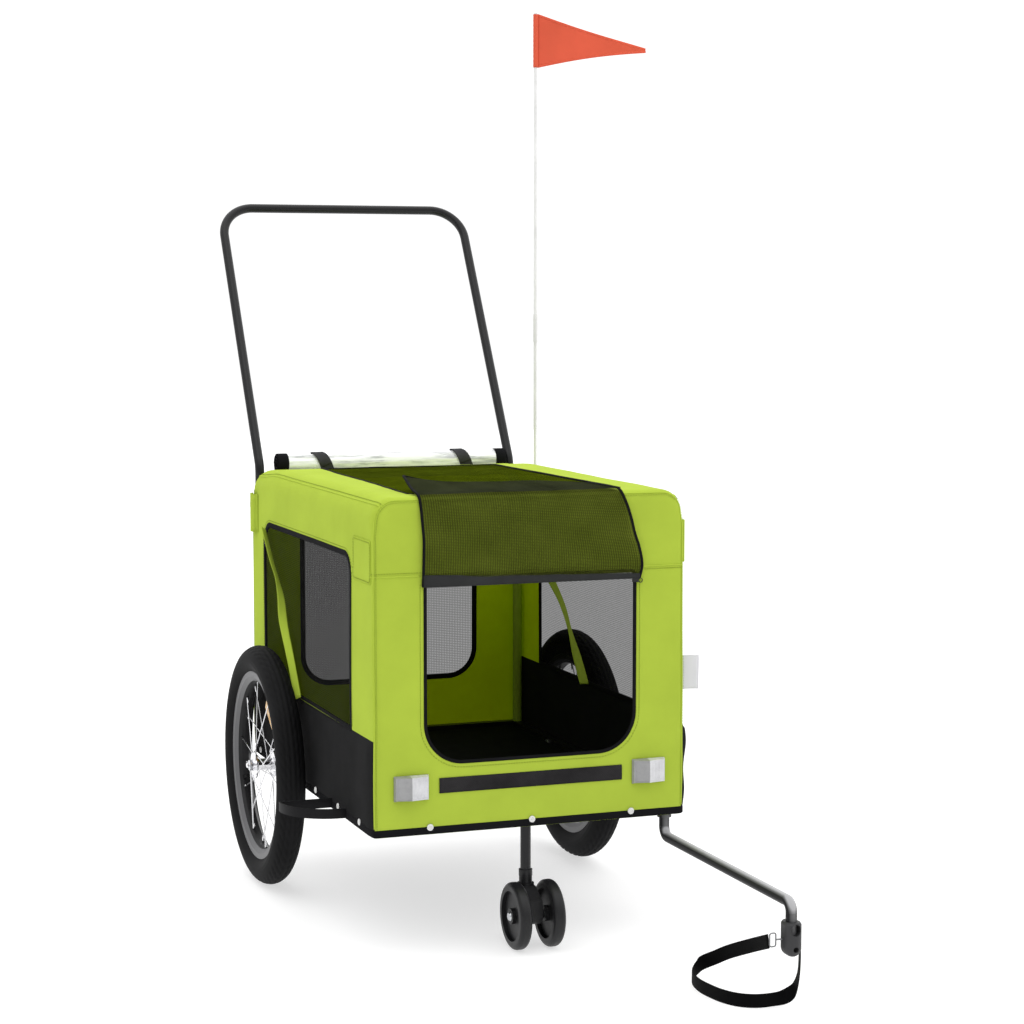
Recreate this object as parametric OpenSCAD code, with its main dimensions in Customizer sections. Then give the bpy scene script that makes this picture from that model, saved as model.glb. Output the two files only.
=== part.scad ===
// Two-wheeled bicycle trailer with a fabric cabin, a front castor, a push handle,
// a tow arm and a safety flag.
// Origin: on the ground under the middle of the wheel axle. +Z up, -Y forward, +X the trailer's left.

/* [Cabin] */
// Outer width of the fabric cabin
cabin_w = 497; // [440:1:560]
// Distance from the axle forward to the front wall
cabin_front = 528; // [480:1:580]
// Distance from the axle back to the rear wall
cabin_rear = 190; // [170:1:230]
// Height of the cabin's bottom edge above the ground
cabin_bottom = 186; // [180:1:190]
// Height of the roof above the ground
cabin_top = 690; // [660:1:720]
// Radius of the roof's long edges
roof_r = 35; // [25:1:45]
// Radius of the roof's front and rear edges
edge_r = 15; // [10:1:25]
// Radius of the cabin's upright corners
corner_r = 5; // [4:0.5:8]
// Thickness of the sewn fabric wall
fabric_t = 3; // [2:0.5:4]

/* [Openings] */
// Half width of the front door opening
door_half = 168; // [150:1:180]
// Bottom edge of the front door opening
door_low = 292; // [285:1:320]
// Top edge of the front door opening
door_high = 575; // [540:1:600]
// Height where the black lower side panels end
panel_top = 330; // [300:1:350]
// Top edge of the side windows
side_window_top = 596; // [560:1:620]
// Front edge of the side windows, forward of the axle
side_window_front = 412; // [380:1:440]
// Rear edge of the side windows, behind the axle
side_window_rear = 109; // [90:1:125]

/* [Frame] */
// Outside radius of the frame tubes
tube_r = 8; // [7:0.5:9]
// Wall thickness of all bent tubes
tube_wall = 1.5; // [1:0.25:2]
// Width of the lower frame rail
rail_w = 16; // [14:1:18]
// Height of the lower frame rail
rail_h = 24; // [20:1:26]

/* [Wheels] */
// Outside radius of the 16 inch tyre
tyre_r = 200; // [195:1:205]
// Radius of the tyre's round section
tyre_section_r = 24; // [22:0.5:25]
// Distance of each wheel's middle plane from the centre
wheel_x = 281; // [279:1:290]
// Number of spokes in one wheel
spoke_count = 20; // [20:4:28]
// Radius of the main axle
axle_r = 6; // [5:0.5:6.5]

/* [Castor] */
// Distance of the castor's upright stem forward of the axle
castor_y = 502; // [500:1:503]
// Radius of the two castor wheels
castor_wheel_r = 51; // [45:1:55]
// Width of one castor wheel
castor_wheel_w = 19; // [16:1:20]
// How far the castor's axle sits off the stem's centre line
castor_trail = 31; // [25:1:35]

/* [Handle] */
// Half distance between the handle's legs
handle_x = 232; // [231:0.5:233]
// Lean of the upper handle from upright, in degrees
handle_lean = 31; // [20:1:40]
// Height of the grip bar above the ground
handle_top = 1143; // [1000:1:1180]
// Radius of the two grip corners
handle_corner_r = 60; // [45:1:80]

/* [Tow arm] */
// Distance of the tow arm from the centre
tow_x = 226; // [225:0.5:231]
// Distance of the tow arm's pivot forward of the axle
tow_pivot_y = 512; // [511:0.5:513]
// Height of the tow arm's straight run
tow_z = 150; // [140:1:158]
// Distance of the coupler forward of the axle
coupler_y = 945; // [935:1:955]

/* [Flag] */
// Height of the flag pole's top above the ground
pole_top = 1483; // [1300:1:1600]
// Radius of the flag pole
pole_r = 3; // [2.5:0.5:4]
// Length of the pennant from the pole to its tip
flag_len = 212; // [150:1:260]

/* [Hidden] */
$fn = 48;

green = [0.66, 0.74, 0.27];
black = [0.10, 0.10, 0.10];
dark_mesh = [0.16, 0.18, 0.12];
steel = [0.62, 0.63, 0.65];
running = 0.05;       // radial clearance of a shaft in its bearing
gap = 0.3;            // clearance between bodies that move past each other
half_w = cabin_w / 2;
cabin_l = cabin_front + cabin_rear;

frame_z0 = cabin_bottom + 2;
frame_z1 = frame_z0 + rail_h;
frame_half = half_w - fabric_t - 0.5;
frame_front = cabin_front - fabric_t - 0.5;
frame_rear = cabin_rear - fabric_t - 0.5;
hoop_x = frame_half - tube_r - 0.5;
hoop_front_y = -(cabin_front - 19);
hoop_rear_y = cabin_rear - 19;
hoop_top = cabin_top - 19;
hoop_bend = 35;
side_rail_z = 636;
floor_z = 200;
floor_t = 5;
cross_h = 8;
cross_l = 24;
cross_y = [-400, -150, 100];
side_rail_r = 6;
corner_block = [40, 20];
stem_block = [32, 26];
block_in = 14;

roof_split = cabin_top - roof_r;
// Distance the front and rear covers run past the rounded edges, onto the flat sides
split_in = 1.5;
front_split = edge_r - cabin_front + split_in;
rear_split = cabin_rear - edge_r - split_in;
door_round = 60;
rear_window = [160, 299, 600];
rear_window_low_r = 50;
rear_window_high_r = 30;
side_window_r = 40;
roof_window_front = 470;
roof_window_rear = 80;
mesh_t = 1.2;
flap_gap = 0.6;
flap_t = 2.4;
flap_low = 557;
flap_end = 400;
hook_tape = [294, 1.6, 23];
hook_z = 247;
reflector_x = 191;
reflector_low = 239;
reflector_h = 38;
loop_low = 576;
loop_high = 642;
loop_y = 153;
loop_len = 32;
loop_t = 2;
loop_reach = 28;
tie_half = 8;
tie_t = 1.5;
tie_top = 590;
tie_low = 326;

screw_z = 197;
screw_head_r = 5.2;
screw_head_h = 2.5;
screw_shank_r = 2;
screw_depth = 9;
side_screw_y = [-459, -344, -215, 60, 140];
end_screw_x = [-162, 0, 162];
guard_x = 255.5;
guard_y = 305.5;
guard_r = 78.5;
guard_leg = 4;
guard_t = 3;
guard_h = 15;

axle_z = tyre_r;
sleeve_r = 9;
axle_inner = 227;
axle_outer = 306;
hub_x0 = 260;
hub_x1 = 302;
hub_r = 10;
flange_r = 23;
spoke_seat = 2.5;
spoke_lead = 70;
collar_r = 16;
collar_t = 3.5;
spacer_r = 9;
button_r = 3;
button_cap_r = 4.5;
flange_t = 2.5;
bearing_r = 8.5;
bearing_w = 6;
section_mid = tyre_r - tyre_section_r;
tyre_cavity_r = 20.5;
rim_out = 157;
rim_in = 140;
rim_half = 15;
spoke_r = 1;
valve_angle = 250;
valve_r = 3;
wheel_reflector = [5, 78, 20];
wheel_reflector_in = 96;
wheel_reflector_at = 35;

castor_axle_z = castor_wheel_r;
castor_axle_y = -castor_y - castor_trail;
castor_wheel_x = 27;
castor_pin_r = 4;
stem_bottom = 104;
fork_low = 86;
fork_half = 11;
fork_eye_r = 15;
wheel_hub_r = 12;
wheel_rim_r = 38;
wheel_web_t = 7;
wheel_edge_r = 7;

pivot_y = 202;
pivot_z = 620;
leg_bend = 40;
leg_bend_z = 675;
bolt_r = 3;
bolt_head_r = 6;
bracket_reach = 13;
bracket_t = 4;
bracket_eye_r = 12;

tow_bend_low = 16;
tow_bend_tip = 14;
tow_tip_z = 95;
tow_collar_r = 11;
tow_collar_h = 8;
coupler_top = 124;
coupler_r = 12.5;
coupler_low = 87.5;
coupler_long = 4;
hitch_pin_r = 4;
hitch_pin_z = 87;
slot_r = 7.4;
slot_low = 113.5;
slot_high = 115;

pole_x = 270;
pole_y = 168;
socket_low = 338;
socket_high = 430;
socket_r = 8;
socket_floor = 6;
ferrule_z = 900;
ferrule_h = 50;
zip_x = 170;
zip_z = 553.5;
flag_low = 1387;
flag_high = 1480;

roll_y = 208;
roll_z = 689;
roll_r = 18;
roll_half = 212;
roll_mid = 10.5;
roll_strap_x = [-118, 140];
roll_strap_w = 22;

// Ring that carries the safety strap beside the coupler
ring_x = 197.8;
ring_z = 100;

// Safety strap: its middle line from the coupler, down to the ground, round its loop and back up to
// the ring. Each entry is a point, then the direction of the webbing's width there.
strap_w = 20;
strap_t = 3;
strap_route = [
    [[239.9, -943, 117], [0.35, 0.94, 0]],
    [[240.6, -943, 92], [0.35, 0.94, 0]],
    [[241.2, -942, 67], [0.35, 0.94, 0]],
    [[240.2, -941, 46], [0.33, 0.94, 0.1]],
    [[237, -938, 29], [0.2, 0.85, 0.4]],
    [[231.5, -934, 18.5], [0, 0.6, 0.8]],
    [[223, -930.5, 12.5], [0, 0.25, 1]],
    [[210, -929, 10.5], [0, 0, 1]],
    [[184, -928.5, 10.5], [0, 0, 1]],
    [[161.7, -914.8, 10.5], [0, 0, 1]],
    [[147.2, -887.5, 10.5], [0, 0, 1]],
    [[140, -848.3, 10.5], [0, 0, 1]],
    [[139.8, -825.6, 10.6], [0, 0, 1]],
    [[142.5, -806.1, 11], [0, 0, 1]],
    [[146.2, -793.5, 11.8], [0, 0, 1]],
    [[152.1, -783.8, 13.5], [0, 0, 1]],
    [[161, -775.5, 17], [0, 0, 1]],
    [[173, -773.5, 24.5], [0, 0, 1]],
    [[183.2, -792.4, 36], [0, 0, 1]],
    [[190.5, -823.6, 52], [0, 0, 1]],
    [[195.8, -882.7, 76], [0, 0, 1]],
    [[192.6, -942.5, 98], [0, 0, 1]]];

// ---------- shared shapes ----------

module rod(from, to, r)
{
    run = to - from;
    len = norm(run);
    translate(from)
        rotate([0, acos(run[2] / len), atan2(run[1], run[0])])
            cylinder(r = r, h = len);
}

// Quarter or part bend that starts at the origin heading +Z and turns towards +X
module elbow(r, bend_r, angle)
{
    translate([bend_r, 0, 0])
        rotate([90, 0, 0])
            rotate([0, 0, 180 - angle])
                rotate_extrude(angle = angle)
                    translate([bend_r, 0])
                        circle(r);
}

module rounded_rect(w, l, r)
{
    square([w - 2 * r, l], center = true);
    square([w, l - 2 * r], center = true);
    for (sx = [-1, 1], sy = [-1, 1])
        translate([sx * (w / 2 - r), sy * (l / 2 - r)])
            circle(r);
}

module both_sides()
{
    children();
    mirror([1, 0, 0]) children();
}

// ---------- frame ----------

module screw_places()
{
    for (x = end_screw_x) {
        translate([x, -cabin_front, screw_z]) rotate([-90, 0, 0]) children();
        translate([x, cabin_rear, screw_z]) rotate([90, 0, 0]) children();
    }
    for (y = side_screw_y) {
        translate([half_w, y, screw_z]) rotate([0, -90, 0]) children();
        translate([-half_w, y, screw_z]) rotate([0, 90, 0]) children();
    }
}

module screw_holes() screw_places() translate([0, 0, -4]) cylinder(r = screw_shank_r, h = screw_depth + 4);

module lower_frame()
{
    color(black) difference() {
        union() {
            translate([0, 0, frame_z0]) linear_extrude(rail_h) difference() {
                translate([0, (frame_rear - frame_front) / 2])
                    rounded_rect(2 * frame_half, frame_front + frame_rear, corner_r - fabric_t);
                translate([0, (frame_rear - frame_front) / 2])
                    square([2 * (frame_half - rail_w), frame_front + frame_rear - 2 * rail_w],
                        center = true);
            }
            for (side = [-1, 1])
                translate([side * (frame_half - corner_block[0] / 2) - corner_block[0] / 2,
                    -frame_front + block_in, frame_z0])
                    cube([corner_block[0], corner_block[1], rail_h]);
            translate([-stem_block[0] / 2, -frame_front + block_in, frame_z0])
                cube([stem_block[0], stem_block[1], rail_h]);
        }
        both_sides()
            translate([0, 0, axle_z]) rotate([0, 90, 0])
                cylinder(r = sleeve_r, h = half_w + 5);
        translate([0, -castor_y, frame_z0 - 1])
            cylinder(r = tube_r, h = rail_h + 2);
        translate([tow_x, -tow_pivot_y, frame_z0 - 1])
            cylinder(r = tube_r + running, h = rail_h - 1);
        screw_holes();
    }
}

module cross_members()
{
    color(steel)
        for (y = cross_y)
            translate([-(frame_half - rail_w), y - cross_l / 2, floor_z - cross_h])
                cube([2 * (frame_half - rail_w), cross_l, cross_h]);
}

module floor_panel()
{
    back = frame_rear - rail_w - 0.5;
    front = frame_front - rail_w - 0.5;
    color(black) difference() {
        translate([0, (back - front) / 2, floor_z]) linear_extrude(floor_t)
            square([2 * (frame_half - rail_w) - 1, back + front], center = true);
        for (side = [-1, 1])
            translate([side * (frame_half - corner_block[0] / 2) - corner_block[0] / 2 - 1,
                -frame_front, floor_z - 1])
                cube([corner_block[0] + 2, block_in + corner_block[1] + 0.5, floor_t + 2]);
        translate([-stem_block[0] / 2 - 0.5, -frame_front, floor_z - 1])
            cube([stem_block[0] + 1, block_in + stem_block[1] + 0.5, floor_t + 2]);
        both_sides()
            translate([axle_inner - 1, -sleeve_r - 3, floor_z - 1])
                cube([10, 2 * sleeve_r + 6, floor_t + 2]);
    }
}

module hoop_path(r, extra)
{
    both_sides() {
        translate([-hoop_x, 0, frame_z1 - extra])
            cylinder(r = r, h = hoop_top - hoop_bend - frame_z1 + extra);
        translate([-hoop_x, 0, hoop_top - hoop_bend])
            elbow(r, hoop_bend, 90);
    }
    translate([-(hoop_x - hoop_bend), 0, hoop_top])
        rotate([0, 90, 0])
            cylinder(r = r, h = 2 * (hoop_x - hoop_bend));
}

module hoop(y)
{
    color(steel) translate([0, y, 0]) difference() {
        hoop_path(tube_r, 0);
        hoop_path(tube_r - tube_wall, 1);
    }
}

module front_hoop() hoop(hoop_front_y);
module rear_hoop() hoop(hoop_rear_y);

module side_rails()
{
    color(steel) difference() {
        both_sides()
            translate([hoop_x, hoop_rear_y, side_rail_z]) rotate([90, 0, 0])
                cylinder(r = side_rail_r, h = hoop_rear_y - hoop_front_y);
        both_sides() for (y = [hoop_front_y, hoop_rear_y])
            translate([hoop_x, y, side_rail_z - 20])
                cylinder(r = tube_r, h = 40);
        both_sides()
            translate([hoop_x, hoop_rear_y + 1, side_rail_z]) rotate([90, 0, 0])
                cylinder(r = side_rail_r - tube_wall, h = hoop_rear_y - hoop_front_y + 2);
    }
}

// ---------- wheels ----------

module axle_sleeves()
{
    color(steel) both_sides() translate([0, 0, axle_z]) rotate([0, 90, 0]) difference() {
        union() {
            translate([0, 0, axle_inner]) cylinder(r = sleeve_r, h = half_w + 4 - axle_inner);
            translate([0, 0, half_w + 0.5]) cylinder(r = collar_r, h = collar_t);
        }
        translate([0, 0, axle_inner + 3]) cylinder(r = axle_r, h = 50);
    }
}

module axles()
{
    color(steel) both_sides() translate([0, 0, axle_z]) rotate([0, 90, 0]) difference() {
        union() {
            translate([0, 0, axle_inner + 3]) cylinder(r = axle_r, h = axle_outer - axle_inner - 3);
            translate([0, 0, hub_x1 + 0.5]) cylinder(r = spacer_r, h = axle_outer - hub_x1 - 0.5);
            translate([0, 0, half_w + 4]) cylinder(r = spacer_r, h = hub_x0 - half_w - 4.5);
        }
        translate([0, 0, axle_outer - 14]) cylinder(r = button_r + running, h = 15);
    }
}

module axle_button_left()
{
    color([0.85, 0.85, 0.87]) translate([0, 0, axle_z]) rotate([0, 90, 0]) {
        translate([0, 0, axle_outer - 10]) cylinder(r = button_r, h = 13);
        translate([0, 0, axle_outer + 3]) cylinder(r1 = button_cap_r, r2 = button_cap_r - 1, h = 1.5);
    }
}

// The tyre's section, drawn with the wheel's axis on y = 0 and its radius along y
module tyre_section()
{
    difference() {
        translate([0, section_mid]) circle(tyre_section_r);
        translate([0, section_mid]) circle(tyre_cavity_r);
        translate([-rim_half - 0.2, 0]) square([2 * rim_half + 0.4, rim_out + 0.2]);
    }
    for (side = [-1, 1])
        translate([side * 11.2 - 1, 152]) square([2, 6.2]);
}

module wheel_spin(angle = 360)
    translate([wheel_x, 0, axle_z]) rotate([0, 90, 0]) rotate_extrude(angle = angle) children();

module tyre_left()
{
    color(black) wheel_spin() rotate([0, 0, -90]) tyre_section();
}

module valve(r, from, to)
    translate([wheel_x, 0, axle_z]) rotate([valve_angle, 0, 0]) translate([0, 0, from])
        cylinder(r = r, h = to - from);

module inner_tube_left()
{
    tube_r = tyre_cavity_r - 0.3;
    color([0.2, 0.2, 0.2]) difference() {
        union() {
            difference() {
                wheel_spin() translate([section_mid, 0]) circle(tube_r);
                wheel_spin() translate([section_mid, 0]) circle(tube_r - 1);
            }
            valve(valve_r, rim_in - 22, section_mid - tube_r + 1);
        }
        valve(1.2, rim_in - 20, section_mid - tube_r + 5);
    }
}

module rim_left()
{
    color([0.42, 0.42, 0.44]) difference() {
        wheel_spin() rotate([0, 0, -90]) polygon([
            [-15, 157], [-13, 157], [-12.4, 151], [-6, 147.5], [6, 147.5], [12.4, 151], [13, 157],
            [15, 157], [14.5, 148], [9, 141], [3, 140], [-3, 140], [-9, 141], [-14.5, 148]]);
        valve(valve_r + 0.5, rim_in - 5, rim_in + 12);
    }
}

module spokes_left()
{
    step = 360 / spoke_count;
    color([0.8, 0.8, 0.82]) translate([wheel_x, 0, axle_z])
        for (i = [0 : spoke_count - 1]) {
            side = i % 2 == 0 ? 1 : -1;
            lead = floor(i / 2) % 2 == 0 ? 1 : -1;
            at_rim = i * step + 9;
            at_hub = at_rim + lead * spoke_lead;
            flange_x = side * (hub_x1 - wheel_x - 5.3) + lead * side * 2.6;
            rod([flange_x, (flange_r - spoke_seat) * cos(at_hub),
                    (flange_r - spoke_seat) * sin(at_hub)],
                [side * 3, (rim_in + 1.5) * cos(at_rim), (rim_in + 1.5) * sin(at_rim)], spoke_r,
                $fn = 16);
        }
}

module hub_left()
{
    color([0.8, 0.8, 0.82]) translate([0, 0, axle_z]) rotate([0, 90, 0]) difference() {
        union() {
            translate([0, 0, hub_x0]) cylinder(r = hub_r, h = hub_x1 - hub_x0);
            translate([0, 0, hub_x0 + 4]) cylinder(r = flange_r, h = flange_t);
            translate([0, 0, hub_x1 - 4 - flange_t]) cylinder(r = flange_r, h = flange_t);
        }
        translate([0, 0, hub_x0 - 1]) cylinder(r = axle_r + 1, h = hub_x1 - hub_x0 + 2);
        translate([0, 0, hub_x0 - 1]) cylinder(r = bearing_r, h = bearing_w + 1);
        translate([0, 0, hub_x1 - bearing_w]) cylinder(r = bearing_r, h = bearing_w + 1);
    }
}

module bearings_left()
{
    color(steel) translate([0, 0, axle_z]) rotate([0, 90, 0])
        for (x = [hub_x0, hub_x1 - bearing_w])
            translate([0, 0, x]) difference() {
                cylinder(r = bearing_r, h = bearing_w);
                translate([0, 0, -1]) cylinder(r = axle_r + running, h = bearing_w + 2);
            }
}

module spoke_reflector_left()
{
    color([0.85, 0.55, 0.15]) translate([wheel_x, 0, axle_z]) rotate([wheel_reflector_at, 0, 0])
        translate([-wheel_reflector[0] / 2, -wheel_reflector[1] / 2, wheel_reflector_in])
            cube(wheel_reflector);
}

module axle_button_right() mirror([1, 0, 0]) axle_button_left();
module tyre_right() mirror([1, 0, 0]) tyre_left();
module inner_tube_right() mirror([1, 0, 0]) inner_tube_left();
module rim_right() mirror([1, 0, 0]) rim_left();
module spokes_right() mirror([1, 0, 0]) spokes_left();
module hub_right() mirror([1, 0, 0]) hub_left();
module bearings_right() mirror([1, 0, 0]) bearings_left();
module spoke_reflector_right() mirror([1, 0, 0]) spoke_reflector_left();

// A guard's plan, grown by grow: a quarter round closed by a straight rear leg
module guard_outline(grow)
{
    intersection() {
        translate([guard_x, -guard_y]) circle(guard_r + grow);
        translate([frame_half, -guard_y - 100]) square([200, 100 + guard_leg + grow]);
    }
}

module guard_bar(clear)
{
    translate([0, 0, cabin_bottom + 1 - clear]) linear_extrude(guard_h + 2 * clear)
        difference() {
            guard_outline(clear);
            guard_outline(-guard_t - clear);
        }
}

module wheel_guards()
{
    color([0.18, 0.18, 0.18]) both_sides() guard_bar(0);
}

// ---------- cabin fabric ----------

// The cabin's outer form, made smaller all round by inset: its upright corners are sharp, its top
// edges along the sides are round, and its top edges at the front and rear are rounded less
module cabin_form(inset)
{
    intersection() {
        translate([0, cabin_rear, 0]) rotate([90, 0, 0]) linear_extrude(cabin_l) {
            roof_profile(inset);
            translate([inset - half_w, cabin_bottom])
                square([cabin_w - 2 * inset, roof_split - cabin_bottom]);
        }
        translate([-half_w, 0, 0]) rotate([90, 0, 90]) linear_extrude(cabin_w) side_profile(inset);
        translate([0, 0, cabin_bottom]) linear_extrude(cabin_top - cabin_bottom) plan(inset);
    }
}

// The cabin seen from the side, with its two upper edges rounded
module side_profile(inset)
{
    for (y = [edge_r - cabin_front, cabin_rear - edge_r])
        translate([y, cabin_top - edge_r]) circle(edge_r - inset);
    translate([edge_r - cabin_front, cabin_top - edge_r])
        square([cabin_l - 2 * edge_r, edge_r - inset]);
    translate([inset - cabin_front, cabin_bottom])
        square([cabin_l - 2 * inset, cabin_top - edge_r - cabin_bottom]);
}

// The cabin seen from above, with its four upright corners rounded
module plan(inset)
{
    for (sx = [-1, 1], y = [corner_r - cabin_front, cabin_rear - corner_r])
        translate([sx * (half_w - corner_r), y]) circle(corner_r - inset);
    translate([inset - half_w, corner_r - cabin_front])
        square([cabin_w - 2 * inset, cabin_l - 2 * corner_r]);
    translate([corner_r - half_w, inset - cabin_front])
        square([cabin_w - 2 * corner_r, cabin_l - 2 * inset]);
}

// The roof's section across the cabin, between its two splits from the walls
module roof_profile(inset)
{
    for (side = [-1, 1]) translate([side * (half_w - roof_r), roof_split]) circle(roof_r - inset);
    translate([roof_r - half_w, roof_split]) square([cabin_w - 2 * roof_r, roof_r - inset]);
}

module cabin_shell()
{
    difference() {
        cabin_form(0);
        translate([0, 0, -0.01]) cabin_form(fabric_t);
    }
}

// A box cut out of the shell between two corners
module shell_region(low, high)
{
    intersection() {
        cabin_shell();
        translate(low) cube(high - low);
    }
}

// An opening of half width w from z0 to z1, rounded by r_low and r_high, seen along Y
module opening(w, z0, z1, r_low, r_high)
{
    translate([-w + r_low, z0]) square([2 * (w - r_low), r_low]);
    translate([-w, z0 + r_low]) square([2 * w, z1 - z0 - r_low - r_high]);
    translate([-w + r_high, z1 - r_high]) square([2 * (w - r_high), r_high]);
    for (side = [-1, 1]) {
        translate([side * (w - r_low), z0 + r_low]) circle(r_low);
        translate([side * (w - r_high), z1 - r_high]) circle(r_high);
    }
}

module door_opening() opening(door_half, door_low, door_high, door_round, 4);
module rear_opening()
    opening(rear_window[0], rear_window[1], rear_window[2], rear_window_low_r, rear_window_high_r);

module side_opening()
{
    half = (side_window_front + side_window_rear) / 2;
    translate([(side_window_rear - side_window_front) / 2, 0])
        opening(half, panel_top, side_window_top, 0.5, side_window_r);
}

module roof_opening()
    translate([-door_half, -roof_window_front])
        square([2 * door_half, roof_window_front + roof_window_rear]);

module cover_front()
{
    color(green) difference() {
        shell_region([-half_w - 1, -cabin_front - 1, cabin_bottom],
            [half_w + 1, front_split, cabin_top + 1]);
        translate([0, front_split, 0]) rotate([90, 0, 0]) linear_extrude(40) door_opening();
        screw_holes();
    }
}

module cover_rear()
{
    color(green) difference() {
        shell_region([-half_w - 1, rear_split, cabin_bottom],
            [half_w + 1, cabin_rear + 1, cabin_top + 1]);
        translate([0, cabin_rear + 5, 0]) rotate([90, 0, 0]) linear_extrude(40) rear_opening();
        both_sides()
            translate([hoop_x, cabin_rear + 1, pivot_z]) rotate([90, 0, 0]) cylinder(r = 5, h = 10);
        screw_holes();
    }
}

module cover_left()
{
    color(green) difference() {
        translate([half_w - fabric_t, front_split, panel_top])
            cube([fabric_t, rear_split - front_split, roof_split - panel_top]);
        translate([half_w - 30, 0, 0]) rotate([90, 0, 90]) linear_extrude(60) side_opening();
    }
}

module cover_right() mirror([1, 0, 0]) cover_left();

module cover_roof()
{
    color(green) difference() {
        translate([0, rear_split, 0]) rotate([90, 0, 0]) linear_extrude(rear_split - front_split)
            difference() {
                roof_profile(0);
                roof_profile(fabric_t);
                translate([-half_w - 1, roof_split - 50]) square([cabin_w + 2, 50]);
            }
        translate([0, 0, cabin_top - 20]) linear_extrude(40) roof_opening();
    }
}

module side_panels()
{
    color(black) difference() {
        both_sides()
            translate([half_w - fabric_t, front_split, cabin_bottom])
                cube([fabric_t, rear_split - front_split, panel_top - cabin_bottom]);
        both_sides()
            translate([0, 0, axle_z]) rotate([0, 90, 0]) cylinder(r = sleeve_r, h = half_w + 5);
        both_sides() guard_bar(gap);
        screw_holes();
    }
}

module window_left()
{
    color(dark_mesh)
        translate([half_w - 2.2, 0, 0]) rotate([90, 0, 90]) linear_extrude(mesh_t) side_opening();
}

module window_right() mirror([1, 0, 0]) window_left();

module window_rear()
{
    color(dark_mesh)
        translate([0, cabin_rear - 1, 0]) rotate([90, 0, 0]) linear_extrude(mesh_t) rear_opening();
}

module window_roof()
{
    color(dark_mesh)
        translate([0, 0, cabin_top - 2.2]) linear_extrude(mesh_t) roof_opening();
}

// The door flap is turned up over the header and lies on the front of the roof
module door_flap()
{
    half = door_half + 4;
    bend_r = edge_r + flap_gap;
    color(dark_mesh) {
        translate([-half, -cabin_front - flap_gap - flap_t, flap_low])
            cube([2 * half, flap_t, cabin_top - edge_r - flap_low]);
        translate([-half, -cabin_front + edge_r, cabin_top - edge_r]) rotate([90, 0, 90])
            rotate([0, 0, 90]) linear_extrude(2 * half) difference() {
                circle(bend_r + flap_t);
                circle(bend_r);
                translate([-100, -100]) square([100, 200]);
                translate([-100, -100]) square([200, 100]);
            }
        translate([-half, -cabin_front + edge_r, cabin_top + flap_gap])
            cube([2 * half, cabin_front - edge_r - flap_end, flap_t]);
    }
}

module hook_strip()
{
    color([0.2, 0.2, 0.2])
        translate([-hook_tape[0] / 2, -cabin_front - hook_tape[1] - 0.2, hook_z]) cube(hook_tape);
}

module front_reflectors()
{
    color([0.85, 0.85, 0.87])
        for (x = [-reflector_x, reflector_x])
            translate([x, -cabin_front - 0.2, reflector_low]) linear_extrude(reflector_h)
                polygon([[-27, 0], [-27, -4], [-4, -13], [2, -13], [27, -7], [27, 0]]);
}

module cover_screws()
{
    color([0.9, 0.9, 0.9]) screw_places() {
        translate([0, 0, -0.2]) cylinder(r = screw_shank_r, h = screw_depth);
        translate([0, 0, -0.2 - screw_head_h]) cylinder(r1 = 3, r2 = screw_head_r, h = screw_head_h);
    }
}

module rain_cover()
{
    color([0.92, 0.94, 0.95])
        translate([roll_mid - roll_half, roll_y, roll_z]) rotate([0, 90, 0])
            cylinder(r = roll_r, h = 2 * roll_half);
}

module rain_cover_straps()
{
    color([0.25, 0.25, 0.25])
        for (x = roll_strap_x)
            translate([x - roll_strap_w / 2, roll_y, roll_z]) rotate([0, 90, 0]) difference() {
                union() {
                    cylinder(r = roll_r + 1.8, h = roll_strap_w);
                    translate([4, cabin_rear + 0.2 - roll_y, 0]) cube([56, 2, roll_strap_w]);
                }
                translate([0, 0, -1]) cylinder(r = roll_r + 0.1, h = roll_strap_w + 2);
            }
}

// Sewn loops on the rear side corners. The left one stands out far enough to hold the flag pole.
module side_loops()
{
    color(green) {
        translate([half_w + 0.2, loop_y, loop_low]) linear_extrude(loop_high - loop_low) difference() {
            square([loop_reach, loop_len]);
            translate([-1, loop_t]) square([loop_reach + 1 - loop_t, loop_len - 2 * loop_t]);
        }
        translate([-half_w - 8.2, loop_y, loop_low]) linear_extrude(loop_high - loop_low) difference() {
            square([8, loop_len]);
            translate([loop_t, loop_t]) square([7, loop_len - 2 * loop_t]);
        }
    }
}

// A flat tie that runs down a side window through three places along Y
module tie_band(top_y, mid_y, mid_z, low_y)
{
    rotate([90, 0, 90]) linear_extrude(tie_t)
        polygon([[top_y - tie_half, tie_top], [top_y + tie_half, tie_top],
            [mid_y + tie_half, mid_z], [low_y + tie_half, tie_low],
            [low_y - tie_half, tie_low], [mid_y - tie_half, mid_z]]);
}

// Fabric ties: the right one hangs outside its window, the left one inside
module tie_straps()
{
    color(green) {
        translate([-half_w - 0.7 - tie_t, 0, 0]) tie_band(80, -42, 480, -136);
        translate([half_w - fabric_t - 0.3 - tie_t, 0, 0]) tie_band(92, -50, 452, -154);
    }
}

// ---------- castor ----------

module castor_stem()
{
    color(black) translate([0, -castor_y, 0]) difference() {
        union() {
            translate([0, 0, stem_bottom]) cylinder(r = tube_r, h = frame_z1 - stem_bottom);
            translate([0, 0, stem_bottom]) cylinder(r = 10.5, h = 10);
        }
        translate([0, 0, stem_bottom - 1]) cylinder(r = castor_pin_r + running, h = 41);
    }
}

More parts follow.
